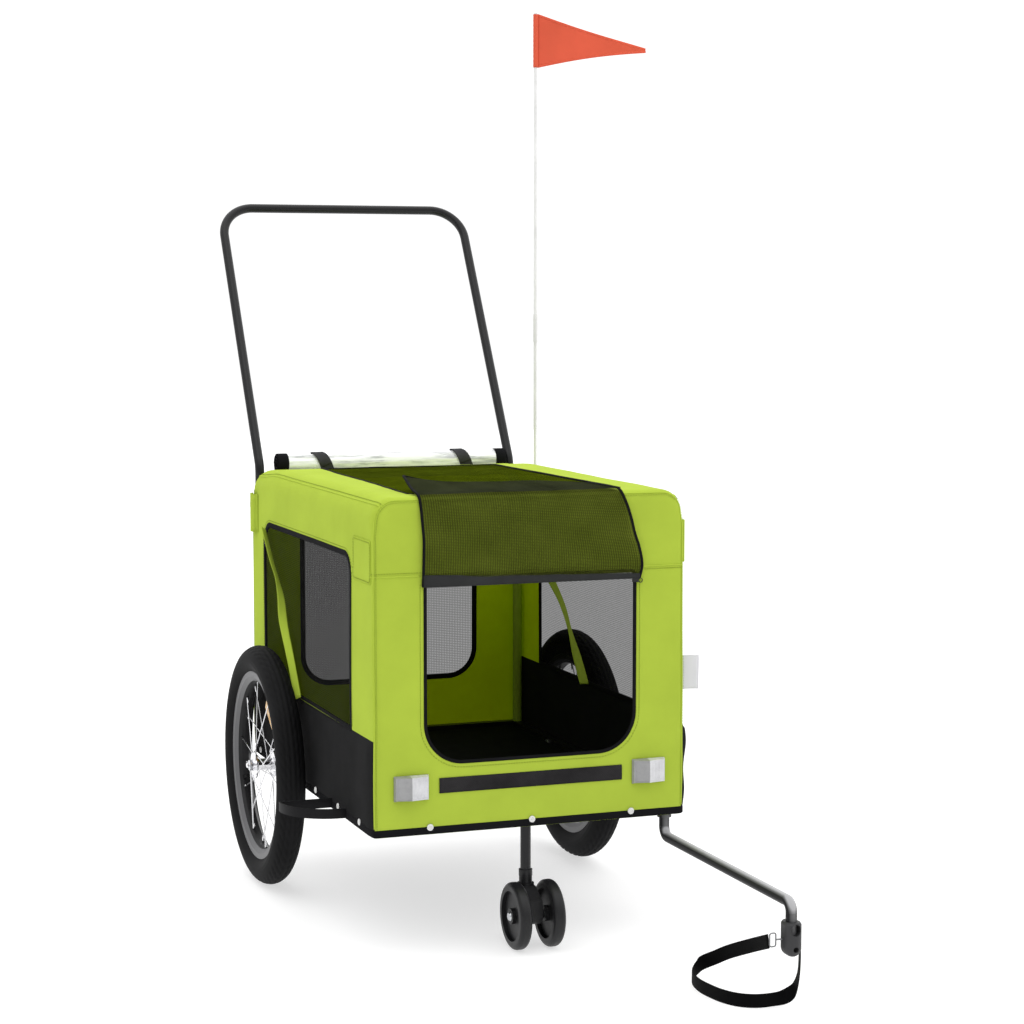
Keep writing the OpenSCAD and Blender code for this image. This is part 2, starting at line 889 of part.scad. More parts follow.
module castor_fork()
{
    color(black) difference() {
        union() {
            translate([0, -castor_y, fork_low]) cylinder(r = 10, h = stem_bottom - gap - fork_low);
            translate([0, -castor_y, fork_low]) cylinder(r = 13, h = 7);
            translate([0, -castor_y, fork_low + 4]) cylinder(r = castor_pin_r, h = 52);
            translate([-fork_half, 0, 0]) rotate([90, 0, 90]) linear_extrude(2 * fork_half) {
                translate([castor_axle_y, castor_axle_z]) circle(fork_eye_r);
                polygon([[castor_axle_y - fork_eye_r, castor_axle_z], [castor_axle_y - 13, 74],
                    [-castor_y - 15, 90], [-castor_y + 11.5, 90], [-castor_y + 11.5, 76],
                    [castor_axle_y + fork_eye_r, castor_axle_z]]);
            }
            translate([-16, castor_axle_y, castor_axle_z]) rotate([0, 90, 0])
                cylinder(r = 8, h = 32);
        }
        translate([-20, castor_axle_y, castor_axle_z]) rotate([0, 90, 0])
            cylinder(r = castor_pin_r, h = 40);
    }
}

module castor_axle()
{
    end = castor_wheel_x + castor_wheel_w / 2 + gap;
    color(steel) translate([-end, castor_axle_y, castor_axle_z]) rotate([0, 90, 0]) {
        cylinder(r = castor_pin_r, h = 2 * end);
        translate([0, 0, -2.5]) cylinder(r1 = 5.5, r2 = 7, h = 2.5);
        translate([0, 0, 2 * end]) cylinder(r1 = 7, r2 = 5.5, h = 2.5);
    }
}

module castor_wheel_left()
{
    half = castor_wheel_w / 2;
    edge = wheel_edge_r;
    color(black) translate([castor_wheel_x, castor_axle_y, castor_axle_z]) rotate([0, 90, 0])
        rotate_extrude() rotate([0, 0, -90]) {
            translate([-half, castor_pin_r + running]) square([2 * half, wheel_hub_r - castor_pin_r]);
            translate([-wheel_web_t / 2, wheel_hub_r])
                square([wheel_web_t, wheel_rim_r + 1 - wheel_hub_r]);
            difference() {
                translate([-half, wheel_rim_r]) square([2 * half, castor_wheel_r - wheel_rim_r]);
                for (side = [-1, 1]) difference() {
                    translate([side * (half - edge / 2) - edge / 2, castor_wheel_r - edge])
                        square([edge, edge]);
                    translate([side * (half - edge), castor_wheel_r - edge]) circle(edge);
                }
            }
        }
}

module castor_wheel_right() mirror([1, 0, 0]) castor_wheel_left();

// ---------- push handle ----------

module handle_brackets()
{
    color(black) both_sides() difference() {
        union() {
            translate([handle_x - bracket_reach, cabin_rear + gap, pivot_z - 20])
                cube([2 * bracket_reach, 3, 46]);
            for (x = [handle_x - bracket_reach, handle_x + tube_r + 1]) {
                translate([x, cabin_rear + gap, pivot_z - bracket_eye_r])
                    cube([bracket_t, pivot_y - cabin_rear, 2 * bracket_eye_r]);
                translate([x, pivot_y, pivot_z]) rotate([0, 90, 0])
                    cylinder(r = bracket_eye_r, h = bracket_t);
            }
            difference() {
                translate([hoop_x, cabin_rear + 1, pivot_z]) rotate([90, 0, 0])
                    cylinder(r = 5, h = 22);
                translate([hoop_x, hoop_rear_y, pivot_z - 20]) cylinder(r = tube_r, h = 40);
                translate([hoop_x - 20, 0, pivot_z - 20]) cube([40, hoop_rear_y, 40]);
            }
        }
        translate([handle_x - 20, pivot_y, pivot_z]) rotate([0, 90, 0])
            cylinder(r = bolt_r, h = 40);
    }
}

module handle_bolts()
{
    color(steel) both_sides()
        translate([handle_x - bracket_reach, pivot_y, pivot_z]) rotate([0, 90, 0]) {
            cylinder(r = bolt_r, h = 2 * bracket_reach);
            for (z = [-4, 2 * bracket_reach]) translate([0, 0, z]) cylinder(r = bolt_head_r, h = 4);
        }
}

// The upper handle in its own plane: two legs, two corners and the grip bar
module handle_upper(r, len)
{
    both_sides() {
        translate([-handle_x, 0, 0]) cylinder(r = r, h = len - handle_corner_r);
        translate([-handle_x, 0, len - handle_corner_r]) elbow(r, handle_corner_r, 90);
    }
    translate([-(handle_x - handle_corner_r), 0, len]) rotate([0, 90, 0])
        cylinder(r = r, h = 2 * (handle_x - handle_corner_r));
}

module handle_path(r, extra)
{
    bend_y = leg_bend * (1 - cos(handle_lean));
    bend_z = leg_bend * sin(handle_lean);
    upper_len = (handle_top - leg_bend_z - bend_z) / cos(handle_lean);
    both_sides() {
        translate([handle_x, pivot_y, pivot_z - extra])
            cylinder(r = r, h = leg_bend_z - pivot_z + extra);
        translate([handle_x, pivot_y, leg_bend_z]) rotate([0, 0, 90])
            elbow(r, leg_bend, handle_lean);
    }
    translate([0, pivot_y + bend_y, leg_bend_z + bend_z]) rotate([-handle_lean, 0, 0])
        handle_upper(r, upper_len);
}

module handle_tube()
{
    color(black) difference() {
        union() {
            difference() {
                handle_path(tube_r, 0);
                handle_path(tube_r - tube_wall, 1);
            }
            both_sides() translate([handle_x, pivot_y, pivot_z]) sphere(r = tube_r);
        }
        both_sides()
            translate([handle_x - 20, pivot_y, pivot_z]) rotate([0, 90, 0])
                cylinder(r = bolt_r + running, h = 40);
    }
}

// ---------- tow arm ----------

module tow_path(r, extra)
{
    translate([tow_x, -tow_pivot_y, tow_z + tow_bend_low])
        cylinder(r = r, h = frame_z1 - 4 - tow_z - tow_bend_low + extra);
    translate([tow_x, -tow_pivot_y, tow_z + tow_bend_low])
        rotate([0, 0, -90]) rotate([180, 0, 0]) elbow(r, tow_bend_low, 90);
    translate([tow_x, -tow_pivot_y - tow_bend_low, tow_z]) rotate([90, 0, 0])
        cylinder(r = r, h = coupler_y - tow_bend_tip - tow_pivot_y - tow_bend_low);
    translate([tow_x, -coupler_y + tow_bend_tip, tow_z])
        rotate([0, 90, 0]) rotate([90, 0, 0]) elbow(r, tow_bend_tip, 90);
    translate([tow_x, -coupler_y, tow_tip_z - extra])
        cylinder(r = r, h = tow_z - tow_bend_tip - tow_tip_z + extra);
}

module tow_tube()
{
    color([0.55, 0.56, 0.58]) {
        difference() {
            tow_path(tube_r, 0);
            tow_path(tube_r - tube_wall, 1);
        }
        translate([tow_x, -tow_pivot_y, frame_z0 - gap - tow_collar_h]) difference() {
            cylinder(r = tow_collar_r, h = tow_collar_h);
            translate([0, 0, -1]) cylinder(r = tube_r - 0.5, h = tow_collar_h + 2);
        }
    }
}

module coupler_plan(r)
{
    for (y = [-coupler_long, coupler_long]) translate([0, y]) circle(r);
    translate([-r, -coupler_long]) square([2 * r, 2 * coupler_long]);
}

module coupler()
{
    shoulder = coupler_top - 3;
    crown_r = coupler_r - 2;
    color([0.25, 0.25, 0.26]) translate([tow_x, -coupler_y, 0]) difference() {
        union() {
            translate([0, 0, coupler_low]) linear_extrude(shoulder - coupler_low)
                coupler_plan(coupler_r);
            for (y = [-coupler_long, coupler_long]) {
                translate([0, y, coupler_low]) sphere(r = coupler_r);
                translate([0, y, shoulder])
                    cylinder(r1 = coupler_r, r2 = crown_r, h = coupler_top - shoulder);
            }
            translate([0, coupler_long, coupler_low]) rotate([90, 0, 0])
                cylinder(r = coupler_r, h = 2 * coupler_long);
            translate([0, coupler_long, 0]) rotate([90, 0, 0]) linear_extrude(2 * coupler_long)
                polygon([[-coupler_r, shoulder], [coupler_r, shoulder],
                    [crown_r, coupler_top], [-crown_r, coupler_top]]);
        }
        translate([0, 0, tow_tip_z - 0.5]) cylinder(r = tube_r + running, h = 40);
        translate([0, -coupler_long, 0]) rotate([90, 0, 0]) linear_extrude(30) {
            for (z = [slot_low, slot_high]) translate([0, z]) circle(slot_r);
            translate([-slot_r, slot_low]) square([2 * slot_r, slot_high - slot_low]);
        }
        translate([0, 20, hitch_pin_z]) rotate([90, 0, 0]) cylinder(r = hitch_pin_r, h = 40);
    }
}

// Wire ring on the coupler's inner side, where the strap's end is sewn round it
module strap_ring()
{
    wire = 1;
    bend = 3;
    half_wide = 4.7;
    half_high = 9.5;
    color([0.8, 0.8, 0.82]) translate([ring_x, -coupler_y, ring_z]) {
        both_sides() for (flip = [0, 1]) mirror([0, 0, flip]) {
            translate([-half_wide, 0, 0]) cylinder(r = wire, h = half_high - bend);
            translate([-half_wide, 0, half_high - bend]) elbow(wire, bend, 90);
            translate([bend - half_wide, 0, half_high]) rotate([0, 90, 0])
                cylinder(r = wire, h = half_wide - bend);
        }
        translate([half_wide + wire - 0.4, -wire, -wire])
            cube([tow_x - coupler_r - ring_x - half_wide - wire + 0.4, 2 * wire, 2 * wire]);
    }
}

function unit(v) = v / norm(v);

// Eight-sided flat section round one route point
function strap_ring_points(i) =
    let (
        last = len(strap_route) - 1,
        here = strap_route[i][0],
        ahead = strap_route[min(i + 1, last)][0],
        behind = strap_route[max(i - 1, 0)][0],
        along = unit(ahead - behind),
        raw = strap_route[i][1],
        wide = unit(raw - along * (raw * along)),
        flat = cross(along, wide),
        w = strap_w / 2,
        t = strap_t / 2
    )
    [for (c = [[w, t / 2], [w - 1, t], [1 - w, t], [-w, t / 2],
        [-w, -t / 2], [1 - w, -t], [w - 1, -t], [w, -t / 2]])
        here + wide * c[0] + flat * c[1]];

module safety_strap()
{
    n = len(strap_route);
    points = [for (i = [0 : n - 1]) each strap_ring_points(i)];
    sides = [for (i = [0 : n - 2], k = [0 : 7])
        let (a = i * 8 + k, b = i * 8 + (k + 1) % 8)
        each [[a, b, b + 8], [a, b + 8, a + 8]]];
    start = [for (k = [7 : -1 : 0]) k];
    finish = [for (k = [0 : 7]) (n - 1) * 8 + k];
    color([0.07, 0.07, 0.07])
        polyhedron(points = points, faces = concat([start], sides, [finish]), convexity = 6);
}

// ---------- flag ----------

module flag_socket()
{
    color(black) translate([pole_x, pole_y, socket_low]) difference() {
        union() {
            cylinder(r = socket_r, h = socket_high - socket_low);
            for (z = [8, socket_high - socket_low - 28])
                translate([half_w + 0.2 - pole_x, -6, z])
                    cube([pole_x - half_w - 4, 12, 20]);
        }
        translate([0, 0, socket_floor]) cylinder(r = pole_r + running, h = 120);
    }
}

module flag_pole()
{
    color([0.95, 0.95, 0.95]) translate([pole_x, pole_y, 0]) {
        translate([0, 0, socket_low + socket_floor])
            cylinder(r = pole_r, h = pole_top - socket_low - socket_floor);
        translate([0, 0, ferrule_z]) cylinder(r = pole_r + 1, h = ferrule_h);
    }
}

module flag()
{
    color([0.87, 0.39, 0.3]) translate([pole_x, pole_y, 0]) {
        translate([0, 0, flag_low]) difference() {
            cylinder(r = pole_r + 1.2, h = flag_high - flag_low);
            translate([0, 0, -1]) cylinder(r = pole_r + running, h = 200);
        }
        translate([0, 0.5, 0]) rotate([90, 0, 0]) linear_extrude(1)
            polygon([[pole_r + 0.6, flag_low], [flag_len, 1422], [flag_len, 1425],
                [pole_r + 0.6, flag_high]]);
    }
}

// ---------- zip ----------

module zip_slider()
{
    ring_r = 3.2;
    color([0.15, 0.15, 0.15]) translate([zip_x, -cabin_front - gap, zip_z]) {
        translate([-7, -3.5, -3]) cube([10, 3.5, 6]);
        translate([3 + ring_r - 0.4, -2.2, -0.5]) rotate([90, 0, 0]) rotate_extrude()
            translate([ring_r, 0]) circle(0.7);
    }
}

lower_frame();
cross_members();
floor_panel();
front_hoop();
rear_hoop();
side_rails();
axle_sleeves();
axles();
castor_stem();
handle_brackets();
handle_bolts();
wheel_guards();
cover_front();
cover_rear();
cover_left();
cover_right();
cover_roof();
side_panels();
window_left();
window_right();
window_rear();
window_roof();
door_flap();
hook_strip();
front_reflectors();
cover_screws();
rain_cover();
rain_cover_straps();
side_loops();
tie_straps();
flag_socket();
tyre_left();
inner_tube_left();
rim_left();
spokes_left();
hub_left();
bearings_left();
spoke_reflector_left();
axle_button_left();
tyre_right();
inner_tube_right();
rim_right();
spokes_right();
hub_right();
bearings_right();
spoke_reflector_right();
axle_button_right();
castor_fork();
castor_axle();
castor_wheel_left();
castor_wheel_right();
handle_tube();
tow_tube();
coupler();
strap_ring();
safety_strap();
flag_pole();
flag();
zip_slider();
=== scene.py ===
"""Bicycle trailer: the looks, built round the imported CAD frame. Metres, +Z up, -Y forward."""

import math

import bmesh
import bpy
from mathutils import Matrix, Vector, noise
from mathutils.geometry import delaunay_2d_cdt


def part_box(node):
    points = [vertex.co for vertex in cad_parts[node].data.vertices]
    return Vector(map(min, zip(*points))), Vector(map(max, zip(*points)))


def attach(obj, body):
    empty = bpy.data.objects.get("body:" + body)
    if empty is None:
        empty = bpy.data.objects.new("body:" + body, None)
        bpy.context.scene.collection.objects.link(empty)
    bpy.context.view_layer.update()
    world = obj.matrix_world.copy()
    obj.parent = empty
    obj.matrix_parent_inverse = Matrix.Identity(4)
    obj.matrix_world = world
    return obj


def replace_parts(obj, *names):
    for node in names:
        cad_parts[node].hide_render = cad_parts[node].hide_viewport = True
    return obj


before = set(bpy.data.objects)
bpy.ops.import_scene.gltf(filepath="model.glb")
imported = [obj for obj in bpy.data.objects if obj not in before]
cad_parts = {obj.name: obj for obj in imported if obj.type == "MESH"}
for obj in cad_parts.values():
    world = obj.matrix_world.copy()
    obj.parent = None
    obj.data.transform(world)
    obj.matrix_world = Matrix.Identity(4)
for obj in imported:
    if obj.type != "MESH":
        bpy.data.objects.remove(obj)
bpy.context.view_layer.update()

# ---------------- dimensions

FRONT_LOW, FRONT_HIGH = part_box("cover_front")
PANEL_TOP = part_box("side_panels")[1].z
HALF_W = FRONT_HIGH.x
Y_FRONT = FRONT_LOW.y
Y_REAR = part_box("cover_rear")[1].y
Z_LOW = FRONT_LOW.z
Z_ROOF = FRONT_HIGH.z
UPRIGHT_R = 0.005
EDGE_R = 0.015
EDGE_OPENS_Z = 0.630
ROOF_R = 0.035
REAR_DIP = 0.008
CLOTH_T = 0.0016
WEAVE_GRID = 0.006
HEADER_SEAM_Z = 0.574
SEAM_FOOT_Z = 0.2
SCREW_Z = 0.197

SIDE_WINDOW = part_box("window_left")
REAR_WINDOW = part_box("window_rear")
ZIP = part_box("zip_slider")
DOOR_HALF = 0.168
DOOR_LOW = 0.292
DOOR_HIGH = 0.568
DOOR_ROUND = 0.060

ROLL_LOW, ROLL_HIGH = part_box("rain_cover")
ROLL_CENTRE = (ROLL_LOW + ROLL_HIGH) / 2
ROLL_R = (ROLL_HIGH.z - ROLL_LOW.z) / 2
ROLL_STRAP_X = (-0.118, 0.141)

WHEEL_LOW, WHEEL_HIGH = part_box("tyre_left")
WHEEL_CENTRE = (WHEEL_LOW + WHEEL_HIGH) / 2
TYRE_R = (WHEEL_HIGH.z - WHEEL_LOW.z) / 2

X_AXIS = Vector((1, 0, 0))
Y_AXIS = Vector((0, 1, 0))
Z_AXIS = Vector((0, 0, 1))


def new_object(name, data):
    obj = bpy.data.objects.new(name, data)
    bpy.context.scene.collection.objects.link(obj)
    return obj


# ---------------- camera

CAMERA_PLACE = (-1.2444, -3.8136, 0.9918)
CAMERA_DOWN = 5.352
CAMERA_TURN = -20.26
CAMERA_LENS_MM = 83.08
SENSOR_MM = 36.0


def make_camera():
    data = bpy.data.cameras.new("camera")
    data.sensor_width = SENSOR_MM
    data.lens = CAMERA_LENS_MM
    data.clip_end = 50.0
    cam = new_object("camera", data)
    cam.location = CAMERA_PLACE
    cam.rotation_euler = (math.radians(90 - CAMERA_DOWN), 0, math.radians(CAMERA_TURN))
    bpy.context.scene.camera = cam


make_camera()


# ---------------- node helpers

def math_node(tree, operation, a, b=None):
    node = tree.nodes.new("ShaderNodeMath")
    node.operation = operation
    for slot, value in enumerate((a, b)):
        if value is None:
            continue
        if hasattr(value, "is_output"):
            tree.links.new(value, node.inputs[slot])
        else:
            node.inputs[slot].default_value = value
    return node.outputs[0]


def tint(color, k):
    return tuple(min(1.0, c * k) for c in color)


def glow(mat, color, strength):
    """Adds a little light of its own to a material."""
    shader = mat.node_tree.nodes["Principled BSDF"]
    shader.inputs["Emission Color"].default_value = (*color, 1)
    shader.inputs["Emission Strength"].default_value = strength
    return mat


class Look:
    """A material being made: its node tree, Principled shader and coordinates."""

    def __init__(self, name, base, rough, metal=0.0, coat=0.0, specular=0.5, use_uv=False):
        self.mat = bpy.data.materials.new(name)
        self.mat.use_nodes = True
        self.tree = self.mat.node_tree
        self.shader = self.tree.nodes["Principled BSDF"]
        self.base = base
        for socket, value in (("Base Color", (*base, 1)), ("Roughness", rough),
                              ("Metallic", metal), ("Coat Weight", coat),
                              ("Specular IOR Level", specular)):
            self.shader.inputs[socket].default_value = value
        coords = self.tree.nodes.new("ShaderNodeTexCoord")
        self.vector = coords.outputs["UV" if use_uv else "Object"]

    def node(self, kind, source=None, into=0, **values):
        """A node fed from source, with the inputs and properties given by name."""
        node = self.tree.nodes.new(kind)
        for key, value in values.items():
            if key in node.inputs.keys():
                node.inputs[key].default_value = value
            else:
                setattr(node, key, value)
        if source is not None:
            self.tree.links.new(source, node.inputs[into])
        return node

    def feed(self, socket, output):
        self.tree.links.new(output, self.shader.inputs[socket])

    def math(self, operation, a, b=None):
        return math_node(self.tree, operation, a, b)

    def split(self):
        return self.node("ShaderNodeSeparateXYZ", self.vector).outputs

    def stretched(self, scale):
        return self.node("ShaderNodeMapping", self.vector, "Vector", Scale=scale).outputs["Vector"]

    def noise(self, scale, detail=4.0, vector=None):
        source = self.vector if vector is None else vector
        return self.node("ShaderNodeTexNoise", source, "Vector", Scale=scale, Detail=detail,
                         Roughness=0.6).outputs["Fac"]

    def color_by(self, factor, stops):
        """Base colour from a ramp over factor."""
        node = self.node("ShaderNodeValToRGB", factor, "Fac")
        elements = node.color_ramp.elements
        while len(elements) < len(stops):
            elements.new(0.5)
        for element, (position, color) in zip(elements, stops):
            element.position = position
            element.color = (*color, 1)
        self.feed("Base Color", node.outputs["Color"])

    def vary(self, scale, spread):
        """Base colour that drifts a little over the surface."""
        self.color_by(self.noise(scale, 5.0), [(0.3, tint(self.base, 1 - spread)),
                                               (0.7, tint(self.base, 1 + spread))])

    def color_facing(self, way, stops):
        """Base colour set by how far the surface faces one way in the frame: painted light and
        shade.
        """
        normal = self.node("ShaderNodeNewGeometry").outputs["Normal"]
        dot = self.node("ShaderNodeVectorMath", normal, operation="DOT_PRODUCT")
        dot.inputs[1].default_value = way
        half = self.math("MULTIPLY", dot.outputs["Value"], 0.5)
        self.color_by(self.math("ADD", half, 0.5), stops)

    def shine(self, factor, low, high):
        """Roughness from low to high over factor."""
        node = self.node("ShaderNodeMapRange", factor, "Value", **{"To Min": low, "To Max": high})
        self.feed("Roughness", node.outputs["Result"])

    def weave(self, pitch, pitch_b=None):
        """Over-and-under threads, as a height from 0 to 1, from the first two coordinates."""
        split = self.split()
        waves = [self.math("SINE", self.math("MULTIPLY", split[axis], 2 * math.pi / p))
                 for axis, p in ((0, pitch), (1, pitch_b or pitch))]
        return self.math("MULTIPLY_ADD", self.math("MULTIPLY", *waves), 0.5)

    def bump(self, height, strength, distance):
        node = self.node("ShaderNodeBump", height, "Height", Strength=strength, Distance=distance)
        self.feed("Normal", node.outputs["Normal"])


# ---------------- materials

GREEN = (0.388, 0.505, 0.053)


def woven(name, base, pitch=0.0016, rough=0.85, strength=0.25, spread=0.06, use_uv=True):
    """Plain-woven cloth or tape."""
    look = Look(name, base, rough, specular=0.05, use_uv=use_uv)
    look.vary(9.0, spread)
    fuzz = look.math("MULTIPLY", look.noise(700.0, 2.0), 0.6)
    look.bump(look.math("ADD", look.weave(pitch), fuzz), strength, 0.0004)
    return look.mat


def open_mesh(name, thread, pitch, cover, soft):
    """Net cloth: a square grid of threads that covers a share of it, its holes softened."""
    look = Look(name, thread, 0.85, specular=0.0, use_uv=True)
    bars = [look.math("LESS_THAN", look.math("FRACT", look.math("DIVIDE", across, pitch)),
                      1 - math.sqrt(1 - cover)) for across in look.split()[:2]]
    look.vary(14.0, 0.35)
    threads = look.math("MULTIPLY", look.math("MAXIMUM", *bars), 1 - soft)
    look.feed("Alpha", look.math("ADD", threads, soft * cover))
    return look.mat


def plastic(name, base, rough, grain, strength, coat=0.0, specular=0.3):
    """Moulded plastic or powder coat, a little worn."""
    look = Look(name, base, rough, coat=coat, specular=specular)
    look.vary(18.0, 0.1)
    look.bump(look.noise(grain), strength, 0.0004)
    look.shine(look.noise(30.0), rough - 0.08, rough + 0.1)
    return look.mat


def metal(name, base, rough):
    """Drawn or brushed metal: fine streaks, a little mottle in the shine."""
    look = Look(name, base, rough, metal=1.0)
    streaks = look.noise(1.0, 3.0, look.stretched((40.0, 40.0, 900.0)))
    look.vary(25.0, 0.06)
    look.shine(streaks, max(0.04, rough - 0.07), rough + 0.1)
    look.bump(streaks, 0.05, 0.0002)
    return look.mat


def arm_painted_highlight(name):
    """Polished tube, dark, with a painted highlight along its top and painted shade down its sides,
    set by the way its surface faces.
    """
    look = Look(name, (0.3, 0.3, 0.3), 0.42, specular=0.12)
    # Painted light: a painted highlight where the tube faces up and forward, painted shade down its
    # sides, a little less shade underneath.
    look.color_facing((0, -0.75, 1), [
        (0.0, (0.030, 0.030, 0.031)), (0.30, (0.020, 0.020, 0.021)),
        (0.45, (0.008, 0.008, 0.009)), (0.74, (0.012, 0.012, 0.013)),
        (0.87, (0.14, 0.14, 0.143)), (0.99, (0.40, 0.40, 0.41))])
    look.bump(look.noise(300.0), 0.03, 0.0002)
    return look.mat


def painted_rim(name):
    """Grey painted rim, grey on its sides and black round the inside of its barrel, where the black
    is painted shade.
    """
    look = Look(name, (0.2, 0.2, 0.2), 0.45, specular=0.4)
    side, barrel = (0.12, 0.12, 0.125), (0.012, 0.012, 0.013)
    # The barrel colour is painted shade, set by the way the surface faces.
    look.color_facing((1, 0, 0), [(0.10, side), (0.24, barrel), (0.76, barrel), (0.90, side)])
    look.bump(look.noise(300.0), 0.06, 0.0002)
    return look.mat


def rubber(name, base):
    look = Look(name, base, 0.7, specular=0.08)
    look.color_by(look.noise(12.0, 6.0), [(0.35, tint(base, 0.85)), (0.75, tint(base, 1.5))])
    look.bump(look.noise(500.0, 3.0), 0.2, 0.0003)
    return look.mat


def clear_film(name):
    """Rolled clear film: glossy, crinkled and a little see-through; its colour over the folds is
    painted shade in the creases and painted highlight on the crests, and its glow is painted light.
    """
    look = Look(name, (0.86, 0.89, 0.90), 0.12, specular=0.7, coat=0.6)
    folds = look.noise(2.2, 5.0, look.stretched((6.0, 60.0, 60.0)))
    # Painted shade and highlight: dark where the fold noise is low, bright where it is high.
    look.color_by(folds, [(0.38, (0.34, 0.35, 0.36)), (0.46, (0.72, 0.73, 0.74)),
                          (0.56, (0.93, 0.94, 0.95))])
    look.bump(folds, 0.6, 0.002)
    look.shader.inputs["Alpha"].default_value = 0.93
    # The glow is painted light.
    return glow(look.mat, (1, 1, 1), 0.12)


def ribbed_webbing(name, base):
    """Webbing with its ribs across the second coordinate."""
    look = Look(name, base, 0.65, specular=0.04, use_uv=True)
    look.vary(40.0, 0.2)
    look.bump(look.weave(0.0022, 0.0030), 0.5, 0.0006)
    return look.mat


def prism_lens(name, base, rough):
    look = Look(name, base, rough, coat=0.6, specular=0.6, use_uv=True)
    look.vary(60.0, 0.12)
    cells = look.node("ShaderNodeTexVoronoi", look.vector, "Vector", Scale=420.0)
    look.bump(cells.outputs["Distance"], 0.5, 0.0006)
    return look.mat


M = {
    "green": woven("green_cloth", GREEN),
    # The cover's inside face: its glow is painted light, and its colour, brighter and yellower than
    # the outside green, is partly painted light coming through the cloth.
    "lining": glow(woven("green_lining", (0.66, 0.84, 0.006)), (0.40, 0.55, 0.0), 0.045),
    "sleeve": woven("hoop_sleeve", GREEN, use_uv=False),
    "black": woven("black_cloth", (0.013, 0.013, 0.0135), 0.0030, strength=0.5, spread=0.3),
    "binding": woven("binding_tape", (0.008, 0.008, 0.009), 0.0018, spread=0.2),
    "tape": woven("grey_tape", (0.030, 0.031, 0.031), 0.0018, 0.9, 0.5, 0.25),
    "hook": woven("hook_tape", (0.024, 0.023, 0.024), 0.0036, 0.95, 1.0, 0.4),
    "thread_green": woven("green_thread", tint(GREEN, 0.62), 0.0006, 0.6),
    "window": open_mesh("window_net", (0.009, 0.009, 0.009), 0.0031, 0.82, 0.8),
    # The near window's net is the window net made more open, so it reads lighter: painted light.
    "near_window": open_mesh("near_window_net", (0.009, 0.009, 0.009), 0.0031, 0.72, 0.8),
    "roof_net": open_mesh("roof_net", (0.034, 0.045, 0.002), 0.0031, 0.86, 0.6),
    "flap": open_mesh("flap_net", (0.039, 0.046, 0.007), 0.0036, 0.72, 0.6),
    "flap_top": open_mesh("flap_net_top", (0.022, 0.025, 0.013), 0.0036, 0.94, 0.8),
    "tyre": rubber("tyre_rubber", (0.008, 0.008, 0.0085)),
    "rim": painted_rim("rim_paint"),
    "chrome": metal("chrome", (0.82, 0.82, 0.84), 0.12),
    "ring": metal("ring_wire", (0.22, 0.22, 0.23), 0.35),
    "zinc": metal("zinc_steel", (0.62, 0.63, 0.65), 0.3),
    "arm": arm_painted_highlight("arm_tube"),
    "black_paint": plastic("black_powder_coat", (0.008, 0.008, 0.009), 0.34, 900.0, 0.1),
    "guard_paint": plastic("guard_powder_coat", (0.008, 0.008, 0.009), 0.5, 700.0, 0.15,
                           specular=0.12),
    "black_plastic": plastic("black_moulding", (0.010, 0.010, 0.011), 0.42, 420.0, 0.12),
    "coupler": plastic("grey_moulding", (0.034, 0.034, 0.036), 0.5, 500.0, 0.2),
    "floor_board": plastic("floor_board_black", (0.005, 0.005, 0.005), 0.8, 300.0, 0.3,
                           specular=0.05),
    "webbing": ribbed_webbing("strap_webbing", (0.0025, 0.0025, 0.0028)),
    "roll_strap": ribbed_webbing("roll_strap_webbing", (0.045, 0.045, 0.048)),
    "film": clear_film("rain_film"),
    "amber": plastic("amber_lens", (0.62, 0.32, 0.03), 0.25, 240.0, 0.3, coat=0.4),
    "pole": plastic("pole_white", (0.82, 0.82, 0.82), 0.35, 600.0, 0.06),
    "flag": woven("flag_nylon", (0.700, 0.112, 0.060), 0.0014, 0.7, spread=0.08),
    "tag": woven("blank_tag", (0.70, 0.70, 0.72), 0.0009, 0.6, spread=0.02),
    "screw": plastic("screw_cap_white", (0.72, 0.72, 0.71), 0.3, 300.0, 0.05),
    # One lens in two copies: the darker one is painted shade on the inner face, the lighter one
    # painted light on the outer face.
    "reflector_painted_shade": prism_lens("reflector_grey_lens", (0.27, 0.27, 0.275), 0.3),
    "reflector_white": prism_lens("reflector_white_lens", (0.58, 0.58, 0.60), 0.25),
}

# The looks of each of the library's slots; a look that is not here has none
SLOT_LOOKS = {
    "green_fabric": "green thread_green",
    "black_fabric": "binding tape hook roll_strap",
    "mesh_fabric": "window near_window roof_net flap",
    "flag_orange": "flag",
    "rain_film": "film",
    "webbing": "webbing",
    "tyre": "tyre",
    "chrome": "chrome screw",
    "reflector_clear": "reflector_painted_shade",
}
SLOTS = {look: slot for slot, looks in SLOT_LOOKS.items() for look in looks.split()}

# Looks of the CAD solids; one name stands for the pieces of both sides
FINISHES = {
    "black_paint": "lower_frame cross_members castor_stem handle_tube",
    "sleeve": "front_hoop rear_hoop side_rails",
    "floor_board": "floor_panel",
    "zinc": "axle_sleeves axles handle_bolts castor_axle bearings",
    "guard_paint": "wheel_guards",
    "black_plastic": "handle_brackets flag_socket castor_fork castor_wheel zip_slider",
    "arm": "tow_tube",
    "coupler": "coupler",
    "ring": "strap_ring",
    "pole": "flag_pole",
    "tyre": "tyre inner_tube",
    "rim": "rim",
    "chrome": "spokes hub axle_button",
    "amber": "spoke_reflector",
}


def dress_frame():
    for look, names in FINISHES.items():
        for node in (name + side for name in names.split() for side in ("", "_left", "_right")):
            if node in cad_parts:
                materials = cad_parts[node].data.materials
                materials.clear()
                materials.append(M[look])


# ---------------- mesh helpers

